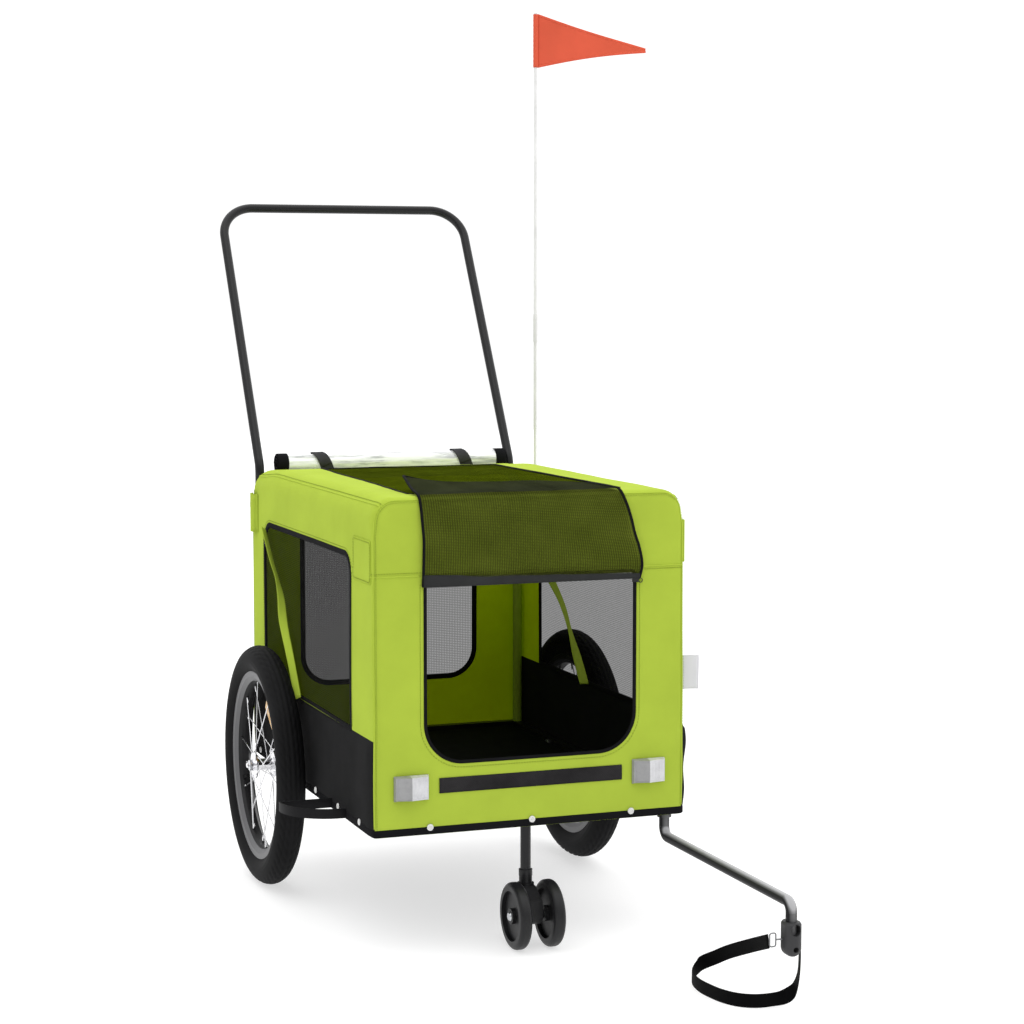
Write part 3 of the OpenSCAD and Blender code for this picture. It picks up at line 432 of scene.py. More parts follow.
def finish_piece(name, mesh, look, body="chassis", smooth=True, slot=None):
    """A mesh as a named piece on a body; look is a key of M, or more than one."""
    obj = new_object(name, mesh)
    looks = look if isinstance(look, tuple) else (look,)
    for key in looks:
        mesh.materials.append(M[key])
    for face in mesh.polygons:
        face.use_smooth = smooth
    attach(obj, body)
    slot = slot or SLOTS.get(looks[0])
    return obj


def mesh_from(name, verts, faces, uvs):
    """A mesh from points and faces; uvs is one (u, v) for each point."""
    mesh = bpy.data.meshes.new(name)
    mesh.from_pydata([tuple(v) for v in verts], [], faces)
    layer = mesh.uv_layers.new(name="UVMap")
    for loop in mesh.loops:
        layer.data[loop.index].uv = uvs[loop.vertex_index]
    mesh.update()
    return mesh


def solidify(obj, thickness, offset=0.0):
    mod = obj.modifiers.new("thickness", "SOLIDIFY")
    mod.thickness = thickness
    mod.offset = offset
    mod.use_rim = True
    return mod


def catmull(points, steps):
    """A smooth line through points, steps points to each stretch."""
    pts = [Vector(p) for p in points]
    out = []
    for i in range(len(pts) - 1):
        p0, p1, p2, p3 = (pts[min(max(k, 0), len(pts) - 1)] for k in range(i - 1, i + 3))
        for s in range(steps):
            t = s / steps
            out.append(0.5 * ((2 * p1) + (p2 - p0) * t + (2 * p0 - 5 * p1 + 4 * p2 - p3) * t * t
                              + (3 * p1 - p0 - 3 * p2 + p3) * t ** 3))
    return out + [pts[-1]]


def line_length(points):
    return sum((b - a).length for a, b in zip(points, points[1:]))


def lerp(a, b, t):
    return a + (b - a) * t


def smoothstep(t):
    t = max(0.0, min(1.0, t))
    return t * t * (3 - 2 * t)


def oval(width, height, n=10, power=0.6):
    """A flat rounded section: (across, up) pairs."""
    out = []
    for i in range(n):
        a = 2 * math.pi * i / n
        c, s = math.cos(a), math.sin(a)
        out.append((math.copysign(abs(c) ** power, c) * width / 2,
                    math.copysign(abs(s) ** power, s) * height / 2))
    return out


def quads(rings, around, loop_rings=False, loop_around=False):
    """Faces between rings of points that follow each other, with around points to a ring."""
    return [(i * around + k, i * around + q, j * around + q, j * around + k)
            for i in range(rings if loop_rings else rings - 1) for j in ((i + 1) % rings,)
            for k in range(around if loop_around else around - 1) for q in ((k + 1) % around,)]


def grid(cols, rows, point, uv=None):
    """A sheet of point(across, up), both from 0 to 1, as (verts, faces, uvs)."""
    spots = [(i / cols, j / rows) for j in range(rows + 1) for i in range(cols + 1)]
    verts = [point(*spot) for spot in spots]
    uvs = [uv(*spot) for spot in spots] if uv else [(v[0], v[2]) for v in verts]
    return verts, quads(rows + 1, cols + 1), uvs


def direction(points, i, closed=False):
    """The way a line of points runs at its point i."""
    n = len(points)
    ahead = points[(i + 1) % n] if closed or i < n - 1 else points[i]
    behind = points[i - 1] if closed or i > 0 else points[i]
    return (ahead - behind).normalized()


def sweep(points, ups, section, closed=False, taper=None):
    """Carries a closed section along points. ups point along the section's second axis."""
    pts = [Vector(p) for p in points]
    n, m = len(pts), len(section)
    verts, uvs = [], []
    run = 0.0
    for i, p in enumerate(pts):
        along = direction(pts, i, closed)
        up = Vector(ups[i]) if isinstance(ups, list) else Vector(ups)
        up = (up - along * up.dot(along)).normalized()
        across = along.cross(up)
        k = taper(i / max(1, n - 1)) if taper else 1.0
        for a, b in section:
            verts.append(p + across * a * k + up * b * k)
            uvs.append((run, a))
        if i < n - 1:
            run += (pts[i + 1] - p).length
    faces = quads(n, m, closed, True)
    if not closed:
        faces.append(tuple(range(m - 1, -1, -1)))
        faces.append(tuple((n - 1) * m + k for k in range(m)))
    return verts, faces, uvs


def ribbon(points, wides, width, thick, n=10):
    """A flat band through points whose width lies along wides."""
    ups = [wides[i].cross(direction(points, i)) for i in range(len(points))]
    return sweep(points, ups, oval(width, thick, n, 0.5))


def join_parts(parts):
    """Several (verts, faces, uvs) as one."""
    verts, faces, uvs = [], [], []
    for v, f, u in parts:
        base = len(verts)
        verts += list(v)
        uvs += u
        faces += [tuple(i + base for i in face) for face in f]
    return verts, faces, uvs


def joined_piece(name, parts, look, body="chassis", slot=None):
    return finish_piece(name, mesh_from(name, *join_parts(parts)), look, body, slot=slot)


def lathe(profile, steps, origin):
    """Turns (height, radius) points round an upright axis through origin."""
    verts, uvs = [], []
    for i in range(steps):
        a = 2 * math.pi * i / steps
        for z, r in profile:
            verts.append(Vector((r * math.cos(a), r * math.sin(a), z)) + Vector(origin))
            uvs.append((a * r, z))
    return verts, quads(steps, len(profile), loop_rings=True), uvs


def rounded_outline(x0, x1, y0, y1, radii, step=0.005):
    """Points round a rectangle; radii round its corners from the low left one, anticlockwise."""
    corners = [(x0, y0, 180), (x1, y0, 270), (x1, y1, 0), (x0, y1, 90)]
    inward = [(1, 1), (-1, 1), (-1, -1), (1, -1)]
    out = []
    for (cx, cy, start), (sx, sy), r in zip(corners, inward, radii):
        ox, oy = cx + sx * r, cy + sy * r
        n = max(2, math.ceil(r * math.pi / 2 / step))
        for k in range(n + 1):
            a = math.radians(start + 90 * k / n)
            out.append(Vector((ox + r * math.cos(a), oy + r * math.sin(a))))
    dense = []
    for a, b in zip(out, out[1:] + out[:1]):
        n = max(1, round((b - a).length / step))
        dense += [a.lerp(b, k / n) for k in range(n)]
    return dense


def straight_outline(corners, step=0.005):
    """Points along the straight edges between corners."""
    out = []
    for a, b in zip(corners, corners[1:] + corners[:1]):
        n = round((Vector(b) - Vector(a)).length / step)
        out += [Vector(a).lerp(Vector(b), k / n) for k in range(n)]
    return out


def line_between(a, b, n):
    """n even steps from a to b, both ends included."""
    return [tuple(lerp(p, q, i / n) for p, q in zip(a, b)) for i in range(n + 1)]


def ring_of(x0, x1, y0, y1, nx, ny):
    """Points round a rectangle: nx along each side that runs with x, ny along the others."""
    corners = [(x0, y0), (x1, y0), (x1, y1), (x0, y1)]
    ring = []
    for a, b, n in zip(corners, corners[1:] + corners[:1], (nx, ny, nx, ny)):
        ring += line_between(a, b, n)[:-1]
    return ring


def inside_polygon(p, poly):
    hit = False
    x, y = p
    for (xi, yi), (xj, yj) in zip(poly, poly[-1:] + poly[:-1]):
        if (yi > y) != (yj > y) and x < (xj - xi) * (y - yi) / (yj - yi) + xi:
            hit = not hit
    return hit


def triangulate(outline, holes, step):
    """Even triangles inside outline and outside holes: (points, triangles)."""
    loops = [outline] + holes
    points, edges = [], []
    for loop in loops:
        base = len(points)
        points += [Vector(p) for p in loop]
        edges += [(base + i, base + (i + 1) % len(loop)) for i in range(len(loop))]
    xs, ys = [p[0] for p in outline], [p[1] for p in outline]
    nx = round((max(xs) - min(xs)) / step)
    ny = round((max(ys) - min(ys)) / step)
    cells = {}
    for p in points:
        cells.setdefault((round(p[0] / step), round(p[1] / step)), []).append(p)

    def near_rim(p):
        cx, cy = round(p[0] / step), round(p[1] / step)
        return any((p - q).length < step * 0.62 for dx in (-1, 0, 1) for dy in (-1, 0, 1)
                   for q in cells.get((cx + dx, cy + dy), ()))

    for i in range(1, nx):
        for j in range(1, ny):
            p = Vector((lerp(min(xs), max(xs), i / nx), lerp(min(ys), max(ys), j / ny)))
            if near_rim(p) or not inside_polygon(p, outline):
                continue
            if any(inside_polygon(p, hole) for hole in holes):
                continue
            points.append(p)
    verts, _, tris, _, _, _ = delaunay_2d_cdt(points, edges, [], 0, 1e-7)
    kept = []
    for tri in tris:
        mid = sum((verts[i] for i in tri), Vector((0, 0))) / 3
        if inside_polygon(mid, outline) and not any(inside_polygon(mid, h) for h in holes):
            kept.append(tuple(tri))
    return verts, kept


# ---------------- the cabin's skin

def clamp(value, low, high):
    return max(low, min(high, value))


def edge_radius(z):
    """Rounding of the four upright corners, which opens out into the roof's end edges."""
    return lerp(UPRIGHT_R, EDGE_R, smoothstep((z - EDGE_OPENS_Z) / 0.030))


def skin(x, y, z, lift=0.0):
    """The rounded cabin surface for a point on its sharp box, raised by lift, and its normal."""
    r = edge_radius(z)
    core_x = clamp(x, ROOF_R - HALF_W, HALF_W - ROOF_R)
    core_z = min(z, Z_ROOF - ROOF_R)
    way = Vector(((x - core_x) / ROOF_R, (z - core_z) / ROOF_R))
    reach = max(abs(way.x), abs(way.y))
    if way.length > 1e-9:
        way.normalize()
    section = Vector((core_x, core_z)) + way * reach * ROOF_R
    side_part = clamp(1 - (1 - reach) * ROOF_R / r, 0, 1)
    end = -1 if y < (Y_FRONT + Y_REAR) / 2 else 1
    beyond = y - (Y_REAR - r) if end > 0 else Y_FRONT + r - y
    end_part = clamp(beyond / r, 0, 1)
    n = Vector((way.x * side_part, end * end_part, way.y * side_part))
    if n.length < 1e-9:
        n = Z_AXIS.copy()
    n.normalize()
    core = section - way * side_part * r
    point = Vector((core.x, y - end * end_part * r, core.y)) + n * (r + lift)
    point.z -= REAR_DIP * smoothstep((y - 0.05) / 0.12) * smoothstep((z - 0.60) / 0.08)
    return point, n


def beside_zip(x, y, z):
    """1 on the front wall where the zip's slider runs down, fading to 0 beside and above it."""
    if y > Y_FRONT + 1e-6:
        return 0.0
    past_side = max(ZIP[0].x - x, x - ZIP[1].x) - 0.001
    past_top = z - ZIP[1].z - 0.005
    return (1 - smoothstep(past_side / 0.010)) * (1 - smoothstep(past_top / 0.020))


def ripple(x, y, z):
    """Slow unevenness of the stretched cloth, in metres, which leaves the zip's slider clear."""
    slow = noise.noise(Vector((x * 5.0, y * 5.0, z * 5.0 + 3.0)))
    quick = noise.noise(Vector((x * 16.0 + 7.0, y * 16.0, z * 9.0)))
    return lerp(0.0011 * slow + 0.0005 * quick, -0.0004, beside_zip(x, y, z))


def bulge(x, y, z):
    """How far the lower side panels stand out from the frame, most just behind the front."""
    if abs(x) <= HALF_W - 0.001 or z >= PANEL_TOP:
        return 0.0
    inward = y - Y_FRONT
    slack = 0.0015 * math.sin(math.pi * (z - Z_LOW) / (PANEL_TOP - Z_LOW))
    folds = (0.30 + 0.70 * math.exp(-((z - 0.300) / 0.030) ** 2)
             + 0.45 * math.exp(-((z - 0.222) / 0.026) ** 2))
    if x > 0:
        along = smoothstep(inward / 0.007) * math.exp(-max(0.0, inward - 0.012) / 0.05)
        return 0.0085 * along * folds * smoothstep((PANEL_TOP - z) / 0.012) + slack
    return 0.005 * smoothstep(inward / 0.03) * math.exp(-inward / 0.08) * folds + slack


def cabin_point(x, y, z):
    return skin(x, y, z, ripple(x, y, z) + bulge(x, y, z))


def chart(kind, u, v):
    """A sharp-box point from a panel's own two coordinates."""
    return {
        "front": (u, Y_FRONT, v), "rear": (u, Y_REAR, v),
        "left": (HALF_W, u, v), "right": (-HALF_W, u, v),
        "roof": (u, v, Z_ROOF),
    }[kind]


def outline_of(kind):
    x0, x1 = (-HALF_W, HALF_W) if kind in ("front", "rear", "roof") else (Y_FRONT, Y_REAR)
    y0, y1 = (Y_FRONT, Y_REAR) if kind == "roof" else (Z_LOW, Z_ROOF)
    return x0, x1, y0, y1


SIDE_ROUND = (0.002, 0.002, 0.040, 0.030)
OPENINGS = {
    "front": rounded_outline(-DOOR_HALF, DOOR_HALF, DOOR_LOW, DOOR_HIGH,
                             (DOOR_ROUND, DOOR_ROUND, 0.006, 0.006)),
    "rear": rounded_outline(REAR_WINDOW[0].x, REAR_WINDOW[1].x, REAR_WINDOW[0].z,
                            REAR_WINDOW[1].z, (0.050, 0.050, 0.030, 0.030)),
    "left": rounded_outline(SIDE_WINDOW[0].y, SIDE_WINDOW[1].y - 0.026, PANEL_TOP,
                            SIDE_WINDOW[1].z, SIDE_ROUND),
    "right": rounded_outline(SIDE_WINDOW[0].y, SIDE_WINDOW[1].y, PANEL_TOP, SIDE_WINDOW[1].z,
                             SIDE_ROUND),
    "roof": straight_outline([(-0.176, -0.470), (0.166, -0.470), (0.153, 0.074),
                              (-0.156, 0.074)]),
}


def build_cover():
    """One sewn skin: five panels that share their edges, green above and black below."""
    mesh = bmesh.new()
    uv_layer = mesh.loops.layers.uv.new("UVMap")
    for kind, hole in OPENINGS.items():
        x0, x1, y0, y1 = outline_of(kind)
        nx, ny = round((x1 - x0) / WEAVE_GRID), round((y1 - y0) / WEAVE_GRID)
        edge = [Vector(p) for p in ring_of(x0, x1, y0, y1, nx, ny)]
        points, tris = triangulate(edge, [hole], WEAVE_GRID)
        made = [mesh.verts.new(cabin_point(*chart(kind, *p))[0]) for p in points]
        flip = kind in ("rear", "right")
        for tri in tris:
            order = tuple(reversed(tri)) if flip else tri
            face = mesh.faces.new([made[i] for i in order])
            face.smooth = True
            mid_v = sum(points[i][1] for i in tri) / 3
            face.material_index = 1 if kind in ("left", "right") and mid_v < PANEL_TOP else 0
            for loop, i in zip(face.loops, order):
                loop[uv_layer].uv = points[i]
    bmesh.ops.remove_doubles(mesh, verts=mesh.verts, dist=2e-5)
    data = bpy.data.meshes.new("cabin_cover")
    mesh.to_mesh(data)
    mesh.free()
    obj = finish_piece("cabin_cover", data, ("green", "black", "lining", "black"))
    # Its inside face takes the lining look, with its painted light, behind the green, and black
    # behind the black.
    solidify(obj, CLOTH_T, -1.0).material_offset = 2
    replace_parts(obj, "cover_front", "cover_rear", "cover_left", "cover_right", "cover_roof",
                "side_panels")


def build_window(kind, look="window"):
    """A net panel sewn into an opening, slightly slack."""
    name = f"window_net_{kind}"
    outline = OPENINGS[kind]
    x0, y0 = min(p.x for p in outline), min(p.y for p in outline)
    x1, y1 = max(p.x for p in outline), max(p.y for p in outline)
    points, tris = triangulate(outline, [], 0.012)
    verts = []
    for p in points:
        s, t = (p.x - x0) / (x1 - x0), (p.y - y0) / (y1 - y0)
        slack = 0.0025 * math.sin(math.pi * s) * math.sin(math.pi * t)
        wave = 0.0010 * noise.noise(Vector((p.x * 9, p.y * 9, len(name))))
        lift = -0.0010 - slack + wave * 4 * s * (1 - s)
        verts.append(skin(*chart(kind, *p), lift)[0])
    mesh = mesh_from(name, verts, tris, [(p.x, p.y) for p in points])
    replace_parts(finish_piece(name, mesh, look), f"window_{kind}")


def on_cloth(line, lift=0.0):
    """Sharp-box points brought to the cloth and raised by lift, and the cloth's normals."""
    found = [cabin_point(*p) for p in line]
    return [point + n * lift for point, n in found], [n for _, n in found]


def on_panel(kind, outline, lift=0.0):
    return on_cloth([chart(kind, *p) for p in outline], lift)


def build_bindings():
    """Black tape folded over the edge of each opening."""
    tape = oval(0.0095, 0.0036)
    narrow = oval(0.0055, 0.0034)
    for kind, outline in OPENINGS.items():
        points, ups = on_panel(kind, outline, -CLOTH_T / 2)
        section = narrow if kind in ("front", "roof") else tape
        joined_piece(f"binding_{kind}", [sweep(points, ups, section, closed=True)], "binding")


def seam_lines():
    """Where two panels are sewn together, as lists of sharp-box points."""
    lines = []
    for side in (-1, 1):
        x = side * HALF_W
        for y in (Y_FRONT, Y_REAR):
            lines.append(line_between((x, y, SEAM_FOOT_Z), (x, y, Z_ROOF), 90))
        lines.append(line_between((side * (DOOR_HALF + 0.008), Y_FRONT, HEADER_SEAM_Z),
                                  (x, Y_FRONT, HEADER_SEAM_Z), 20))
        lines.append(line_between((x, Y_FRONT + 0.001, HEADER_SEAM_Z),
                                  (x, SIDE_WINDOW[0].y - 0.006, HEADER_SEAM_Z), 26))
        lines.append(line_between((x, Y_FRONT, Z_ROOF), (x, Y_REAR, Z_ROOF), 120))
    for y in (Y_FRONT, Y_REAR):
        lines.append(line_between((-HALF_W, y, Z_ROOF), (HALF_W, y, Z_ROOF), 90))
    return lines


def build_seams():
    """A low welt along each seam."""
    welts = [sweep(*on_cloth(line, 0.0002), oval(0.0030, 0.0016, 8)) for line in seam_lines()]
    joined_piece("cover_seams", welts, "green")


def stitch_row(points, ups, offset):
    """Short thread dashes along a line, moved sideways by offset."""
    pitch, length, radius = 0.0042, 0.0026, 0.00035
    parts = []
    run, nxt = 0.0, 0.0
    for a, b, up in zip(points, points[1:], ups):
        seg = (b - a).length
        if seg < 1e-9:
            continue
        along = (b - a) / seg
        across = along.cross(up).normalized()
        while nxt <= run + seg:
            mid = a + along * (nxt - run) + across * offset + up * radius * 0.6
            ends = [mid - along * length / 2, mid - along * length / 4 + up * radius,
                    mid + along * length / 4 + up * radius, mid + along * length / 2]
            parts.append(sweep(ends, up, oval(radius * 2.6, radius * 1.6, 5)))
            nxt += pitch
        run += seg
    return parts


def build_stitches():
    """A row of stitches beside each seam that shows, and round the door and side windows."""
    parts = []
    for line in seam_lines():
        if all(abs(end[1] - Y_REAR) < 1e-6 for end in (line[0], line[-1])):
            continue
        parts += stitch_row(*on_cloth(line), 0.0045)
    for kind in ("front", "left", "right"):
        outline = OPENINGS[kind]
        first = max(range(len(outline)), key=lambda i: outline[i].x + 0.001 * outline[i].y)
        turned = outline[first:] + outline[:first]
        kept = [p for p in turned if kind == "front" or p.y > PANEL_TOP + 0.003]
        parts += stitch_row(*on_panel(kind, kept), -0.0078 if kind == "right" else 0.0078)
    joined_piece("cover_stitches", parts, "thread_green")


def build_edge_tape():
    """Black tape round the bottom edge of the cover."""
    plan = ring_of(-HALF_W, HALF_W, Y_FRONT, Y_REAR, 84, 120)
    points, ups = on_cloth([(x, y, Z_LOW + 0.0058) for x, y in plan], -CLOTH_T / 2)
    joined_piece("bottom_edge_tape", [sweep(points, ups, oval(0.0120, 0.0036, 10, 0.45), True)],
                 "binding")


# ---------------- door flap

# Its edge at -X, its middle and its edge at +X, from the tape over the header to its free end
FLAP_LINES = [catmull(line, 8) for line in (
    [(-0.1720, -0.5310, 0.557), (-0.1717, -0.5320, 0.580), (-0.1714, -0.5327, 0.603),
     (-0.1714, -0.5333, 0.627), (-0.1735, -0.5330, 0.652), (-0.1752, -0.5315, 0.674),
     (-0.1755, -0.5210, 0.6915), (-0.1715, -0.4740, 0.6990), (-0.1600, -0.4000, 0.7115)],
    [(0.0, -0.5320, 0.557), (0.0, -0.5345, 0.580), (0.0, -0.5365, 0.603),
     (0.0, -0.5375, 0.627), (0.0, -0.5365, 0.650), (0.0, -0.5330, 0.674),
     (0.0, -0.5210, 0.6920), (0.0, -0.4890, 0.6945), (0.0, -0.3700, 0.6965)],
    [(0.1740, -0.5310, 0.557), (0.1775, -0.5330, 0.577), (0.1720, -0.5355, 0.603),
     (0.1635, -0.5365, 0.627), (0.1585, -0.5355, 0.648), (0.1510, -0.5325, 0.673),
     (0.1445, -0.5205, 0.6925), (0.1420, -0.4890, 0.6940), (0.1420, -0.4000, 0.6930)])]
FLAP_LEFT_X, FLAP_RIGHT_X = -0.1720, 0.1740

# Behind this the door lies on the roof, where its net looks darker
FLAP_TURN = -0.5190


def flap_point(s, t):
    """s runs across from -1 to 1, t along the door from its tape to its free end, 0 to 1."""
    stretches = len(FLAP_LINES[0]) - 1
    i = min(int(t * stretches), stretches - 1)
    left, mid, right = (line[i].lerp(line[i + 1], t * stretches - i) for line in FLAP_LINES)
    edge = left if s < 0 else right
    out = abs(s)
    blend_in = out ** 2.6
    p = Vector((edge.x * out, lerp(mid.y, edge.y, blend_in), lerp(mid.z, edge.z, blend_in)))
    wave = noise.noise(Vector((s * 2.2, t * 3.5, 1.7)))
    lift = 0.0016 * wave * (1 - out ** 4) * smoothstep(t * 6)
    if t > 0.5:
        p.z += abs(lift)
    else:
        p.y -= abs(lift) * 1.4
    return p


def flap_tape_point(s, t):
    return (lerp(FLAP_LEFT_X, FLAP_RIGHT_X, s), Y_FRONT - 0.0046 - 0.001 * math.sin(math.pi * t),
            lerp(0.5565, lerp(0.5750, 0.5640, s), t))


def build_flap():
    """The net door, turned up over the header with its free end lying on the roof."""
    cols, rows = 68, 72
    cloth = grid(cols, rows, lambda s, t: flap_point(2 * s - 1, t),
                 lambda s, t: ((2 * s - 1) * 0.17, t * 0.30))
    flap = finish_piece("door_flap_net", mesh_from("door_flap_net", *cloth), ("flap", "flap_top"))
    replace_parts(flap, "door_flap")
    for face in flap.data.polygons:
        face.material_index = 1 if face.center.y > FLAP_TURN else 0
    left, mid, right = ([flap_point(s, j / rows) for j in range(rows + 1)] for s in (-1, 0, 1))
    top = [flap_point(-1 + 2 * i / cols, 1.0) for i in range(cols // 8)]
    side_ups = [X_AXIS.cross(direction(mid, j)) for j in range(rows + 1)]
    section = oval(0.0040, 0.0032)
    hem = joined_piece("door_flap_binding", [
        sweep(left, side_ups, section), sweep(right, side_ups, section),
        sweep(top, Z_AXIS, section, taper=lambda t: 1 - 0.9 * t)], "binding")
    tape = joined_piece("door_flap_tape", [grid(40, 4, flap_tape_point)], "tape")
    solidify(tape, 0.0012)
    length = line_length(FLAP_LINES[1])


# ---------------- front trim

def build_hook_strip():
    low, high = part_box("hook_strip")

    def point(s, t):
        swell = 0.0007 * math.sin(math.pi * t) ** 0.3
        return lerp(low.x, high.x, s), high.y - 0.0011 - swell, lerp(low.z, high.z, t)

    strip = joined_piece("hook_tape", [grid(60, 6, point)], "hook")
    solidify(strip, 0.0010, -1.0)
    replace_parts(strip, "hook_strip")


REFLECTOR_W = 0.054
REFLECTOR_COLS, REFLECTOR_ROWS = 28, 20
RIDGE = 0.46


def reflector_depth(i, j):
    """How far a point of the reflector's grid stands out; its two faces meet at RIDGE."""
    t = i / REFLECTOR_COLS
    if t < RIDGE:
        depth = lerp(0.0045, 0.0128, t / RIDGE)
    else:
        depth = lerp(0.0128, 0.0070, (t - RIDGE) / (1 - RIDGE))
    border = min(j, REFLECTOR_ROWS - j, i, REFLECTOR_COLS - i)
    if border == 0:
        return 0.0006
    if border == 1:
        return depth * 0.96
    if border == 2:
        return depth - 0.0009
    return depth - 0.0004 if t > RIDGE and i % 3 == 0 else depth


def build_reflectors():
    """Two-faced reflectors of one lens: a frame, an inner face and an outer face with fine ribs;
    the inner face's grey is painted shade and the outer face's white is painted light.
    """
    low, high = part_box("front_reflectors")
    for side, x0 in (("left", high.x - REFLECTOR_W), ("right", low.x)):
        def point(s, t):
            depth = reflector_depth(round(s * REFLECTOR_COLS), round(t * REFLECTOR_ROWS))
            return lerp(x0, x0 + REFLECTOR_W, s), high.y - depth, lerp(low.z, high.z, t)

        name = f"reflector_{side}"
        mesh = mesh_from(name, *grid(REFLECTOR_COLS, REFLECTOR_ROWS, point))
        obj = finish_piece(name, mesh, ("reflector_painted_shade", "reflector_white"), smooth=False)
        for face in mesh.polygons:
            across = face.index % REFLECTOR_COLS / REFLECTOR_COLS
            # Painted shade before the ridge and painted light beyond it, on one lens.
            face.material_index = 1 if across >= RIDGE else 0
        if side == "left":
            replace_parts(obj, "front_reflectors")


SCREW_X = (-0.162, 0.0, 0.162)
SCREW_Y = (-0.459, -0.344, -0.215, 0.060, 0.140)
SCREW_LIFT = 0.0018
# (height, radius) from the cap's edge over its dome to the recess in its middle
SCREW_PROFILE = [(0.0, 0.0051), (0.0006, 0.0052), (0.0013, 0.0048), (0.0019, 0.0039),
                 (0.0022, 0.0028), (0.0014, 0.0024), (0.0013, 0.0001)]


def build_screws():
    """Domed white caps over the cover's screws."""
    spots = []
    for x in SCREW_X:
        spots += [(Vector((x, Y_FRONT, SCREW_Z)), -Y_AXIS), (Vector((x, Y_REAR, SCREW_Z)), Y_AXIS)]
    for y in SCREW_Y:
        spots += [(Vector((side * HALF_W, y, SCREW_Z)), side * X_AXIS) for side in (-1, 1)]
    parts = []
    steps = 20
    for spot, out in spots:
        side = out.orthogonal().normalized()
        other = out.cross(side)
        verts = []
        for i in range(steps):
            a = 2 * math.pi * i / steps
            radial = side * math.cos(a) + other * math.sin(a)
            verts += [spot + out * (SCREW_LIFT + h) + radial * r for h, r in SCREW_PROFILE]
        faces = quads(steps, len(SCREW_PROFILE), loop_rings=True)
        parts.append((verts, faces, [(0, 0)] * len(verts)))
    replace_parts(joined_piece("cover_screw_caps", parts, "screw"), "cover_screws")


# ---------------- side straps, loops, patches

# For each tie: x, its (y, z) points from the top down, and its turn about its own line there
RIGHT_TIE = (-HALF_W - 0.0030,
             [(0.080, 0.590), (0.028, 0.541), (-0.012, 0.511), (-0.042, 0.482),
              (-0.056, 0.436), (-0.091, 0.389), (-0.133, 0.332)],
             (0.8, 0.8, 0.8, 1.3, 2.2, 2.4, 2.4))
LEFT_TIE = (HALF_W - 0.0110,
            [(0.070, 0.548), (0.038, 0.514), (0.001, 0.487), (-0.050, 0.452),
             (-0.086, 0.412), (-0.118, 0.372), (-0.152, 0.330)],
            (1.35, 1.35, 1.3, 1.0, 0.8, 1.3, 1.4))


def build_tie_straps():
    """A cloth tie over each side window, outside on the right and inside on the left."""
    parts = []
    for (x, spots, turns), width, stand_off in ((RIGHT_TIE, 0.014, 0.008), (LEFT_TIE, 0.018, 0)):
        line = catmull([(x, y, z) for y, z in spots], 8)
        turn = [a.x for a in catmull([(a, 0, 0) for a in turns], 8)]
        wides = [X_AXIS.cross(direction(line, i)) * math.cos(a) + X_AXIS * math.sin(a)
                 for i, a in enumerate(turn)]
        lifted = [p - X_AXIS * stand_off * abs(math.sin(a)) for p, a in zip(line, turn)]
        parts.append(ribbon(lifted, wides, width, 0.0014))
    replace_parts(joined_piece("window_tie_straps", parts, "green"), "tie_straps")


def band_loop(outline, z0, z1, rows=9):
    """An upright cloth band that follows an open plan outline."""
    run = [line_length(outline[:i + 1]) for i in range(len(outline))]
    heights = [lerp(z0, z1, j / (rows - 1)) for j in range(rows)]
    verts = [(p.x, p.y, z) for z in heights for p in outline]
    return verts, quads(rows, len(outline)), [(along, z) for z in heights for along in run]


def build_side_loops():
    """Sewn loops at the rear corners. The left one stands out and holds the flag pole."""
    parts = []
    for side, reach in ((-1, 0.0065), (1, 0.0272)):
        x = side * (HALF_W + 0.0008)
        plan = catmull([(x, 0.150, 0), (x, 0.156, 0), (x + side * reach * 0.75, 0.160, 0),
                        (x + side * reach, 0.169, 0), (x + side * reach * 0.75, 0.180, 0),
                        (x, 0.1845, 0), (x, 0.1885, 0)], 6)
        parts.append(band_loop(plan, 0.576, 0.642))
    loops = joined_piece("side_loop_bands", parts, "green")
    solidify(loops, 0.0016)
    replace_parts(loops, "side_loops")


def build_corner_patches():
    """Reinforcing patches high on the front edge of each side: flat on the right, loose on the
    left, where it makes a flat loop."""
    points, tris = triangulate(rounded_outline(-0.520, -0.428, 0.562, 0.627, (0.004,) * 4, 0.006),
                               [], 0.006)
    verts, _ = on_panel("right", points, 0.0012)
    tris = [tuple(reversed(t)) for t in tris]
    patch = joined_piece("corner_patch", [(verts, tris, [(p.x, p.y) for p in points])], "green")
    solidify(patch, 0.0012, -1.0)
    inner = rounded_outline(-0.517, -0.431, 0.565, 0.624, (0.003,) * 4, 0.004)
    line, ups = on_panel("right", inner, 0.0013)
    joined_piece("corner_patch_stitches", stitch_row(line + line[:1], ups, 0.0), "thread_green")
    plan = catmull([(HALF_W + 0.0010 + out, y, 0) for out, y in (
        (0, -0.519), (0.0050, -0.5165), (0.0066, -0.508), (0.0066, -0.480), (0.0050, -0.450),
        (0, -0.438), (0, -0.430))], 6)
    solidify(joined_piece("corner_loop", [band_loop(plan, 0.577, 0.6415)], "green"), 0.0016)


def tag_point(s, t):
    return (lerp(HALF_W - 0.004, HALF_W + 0.0285, s),
            -0.5195 - 0.004 * s * s + 0.0015 * math.sin(3.0 * s + 2.0 * t), lerp(0.379, 0.432, t))


def build_tag():
    """A blank folded tag sewn into the front left corner seam."""
    solidify(joined_piece("blank_tag", [grid(8, 12, tag_point)], "tag"), 0.0008)


# ---------------- rain cover

def round_roll(x, radius, a):
    """A point at an angle round the rolled rain cover's middle line."""
    return Vector((x, ROLL_CENTRE.y + radius * math.cos(a), ROLL_CENTRE.z + radius * math.sin(a)))


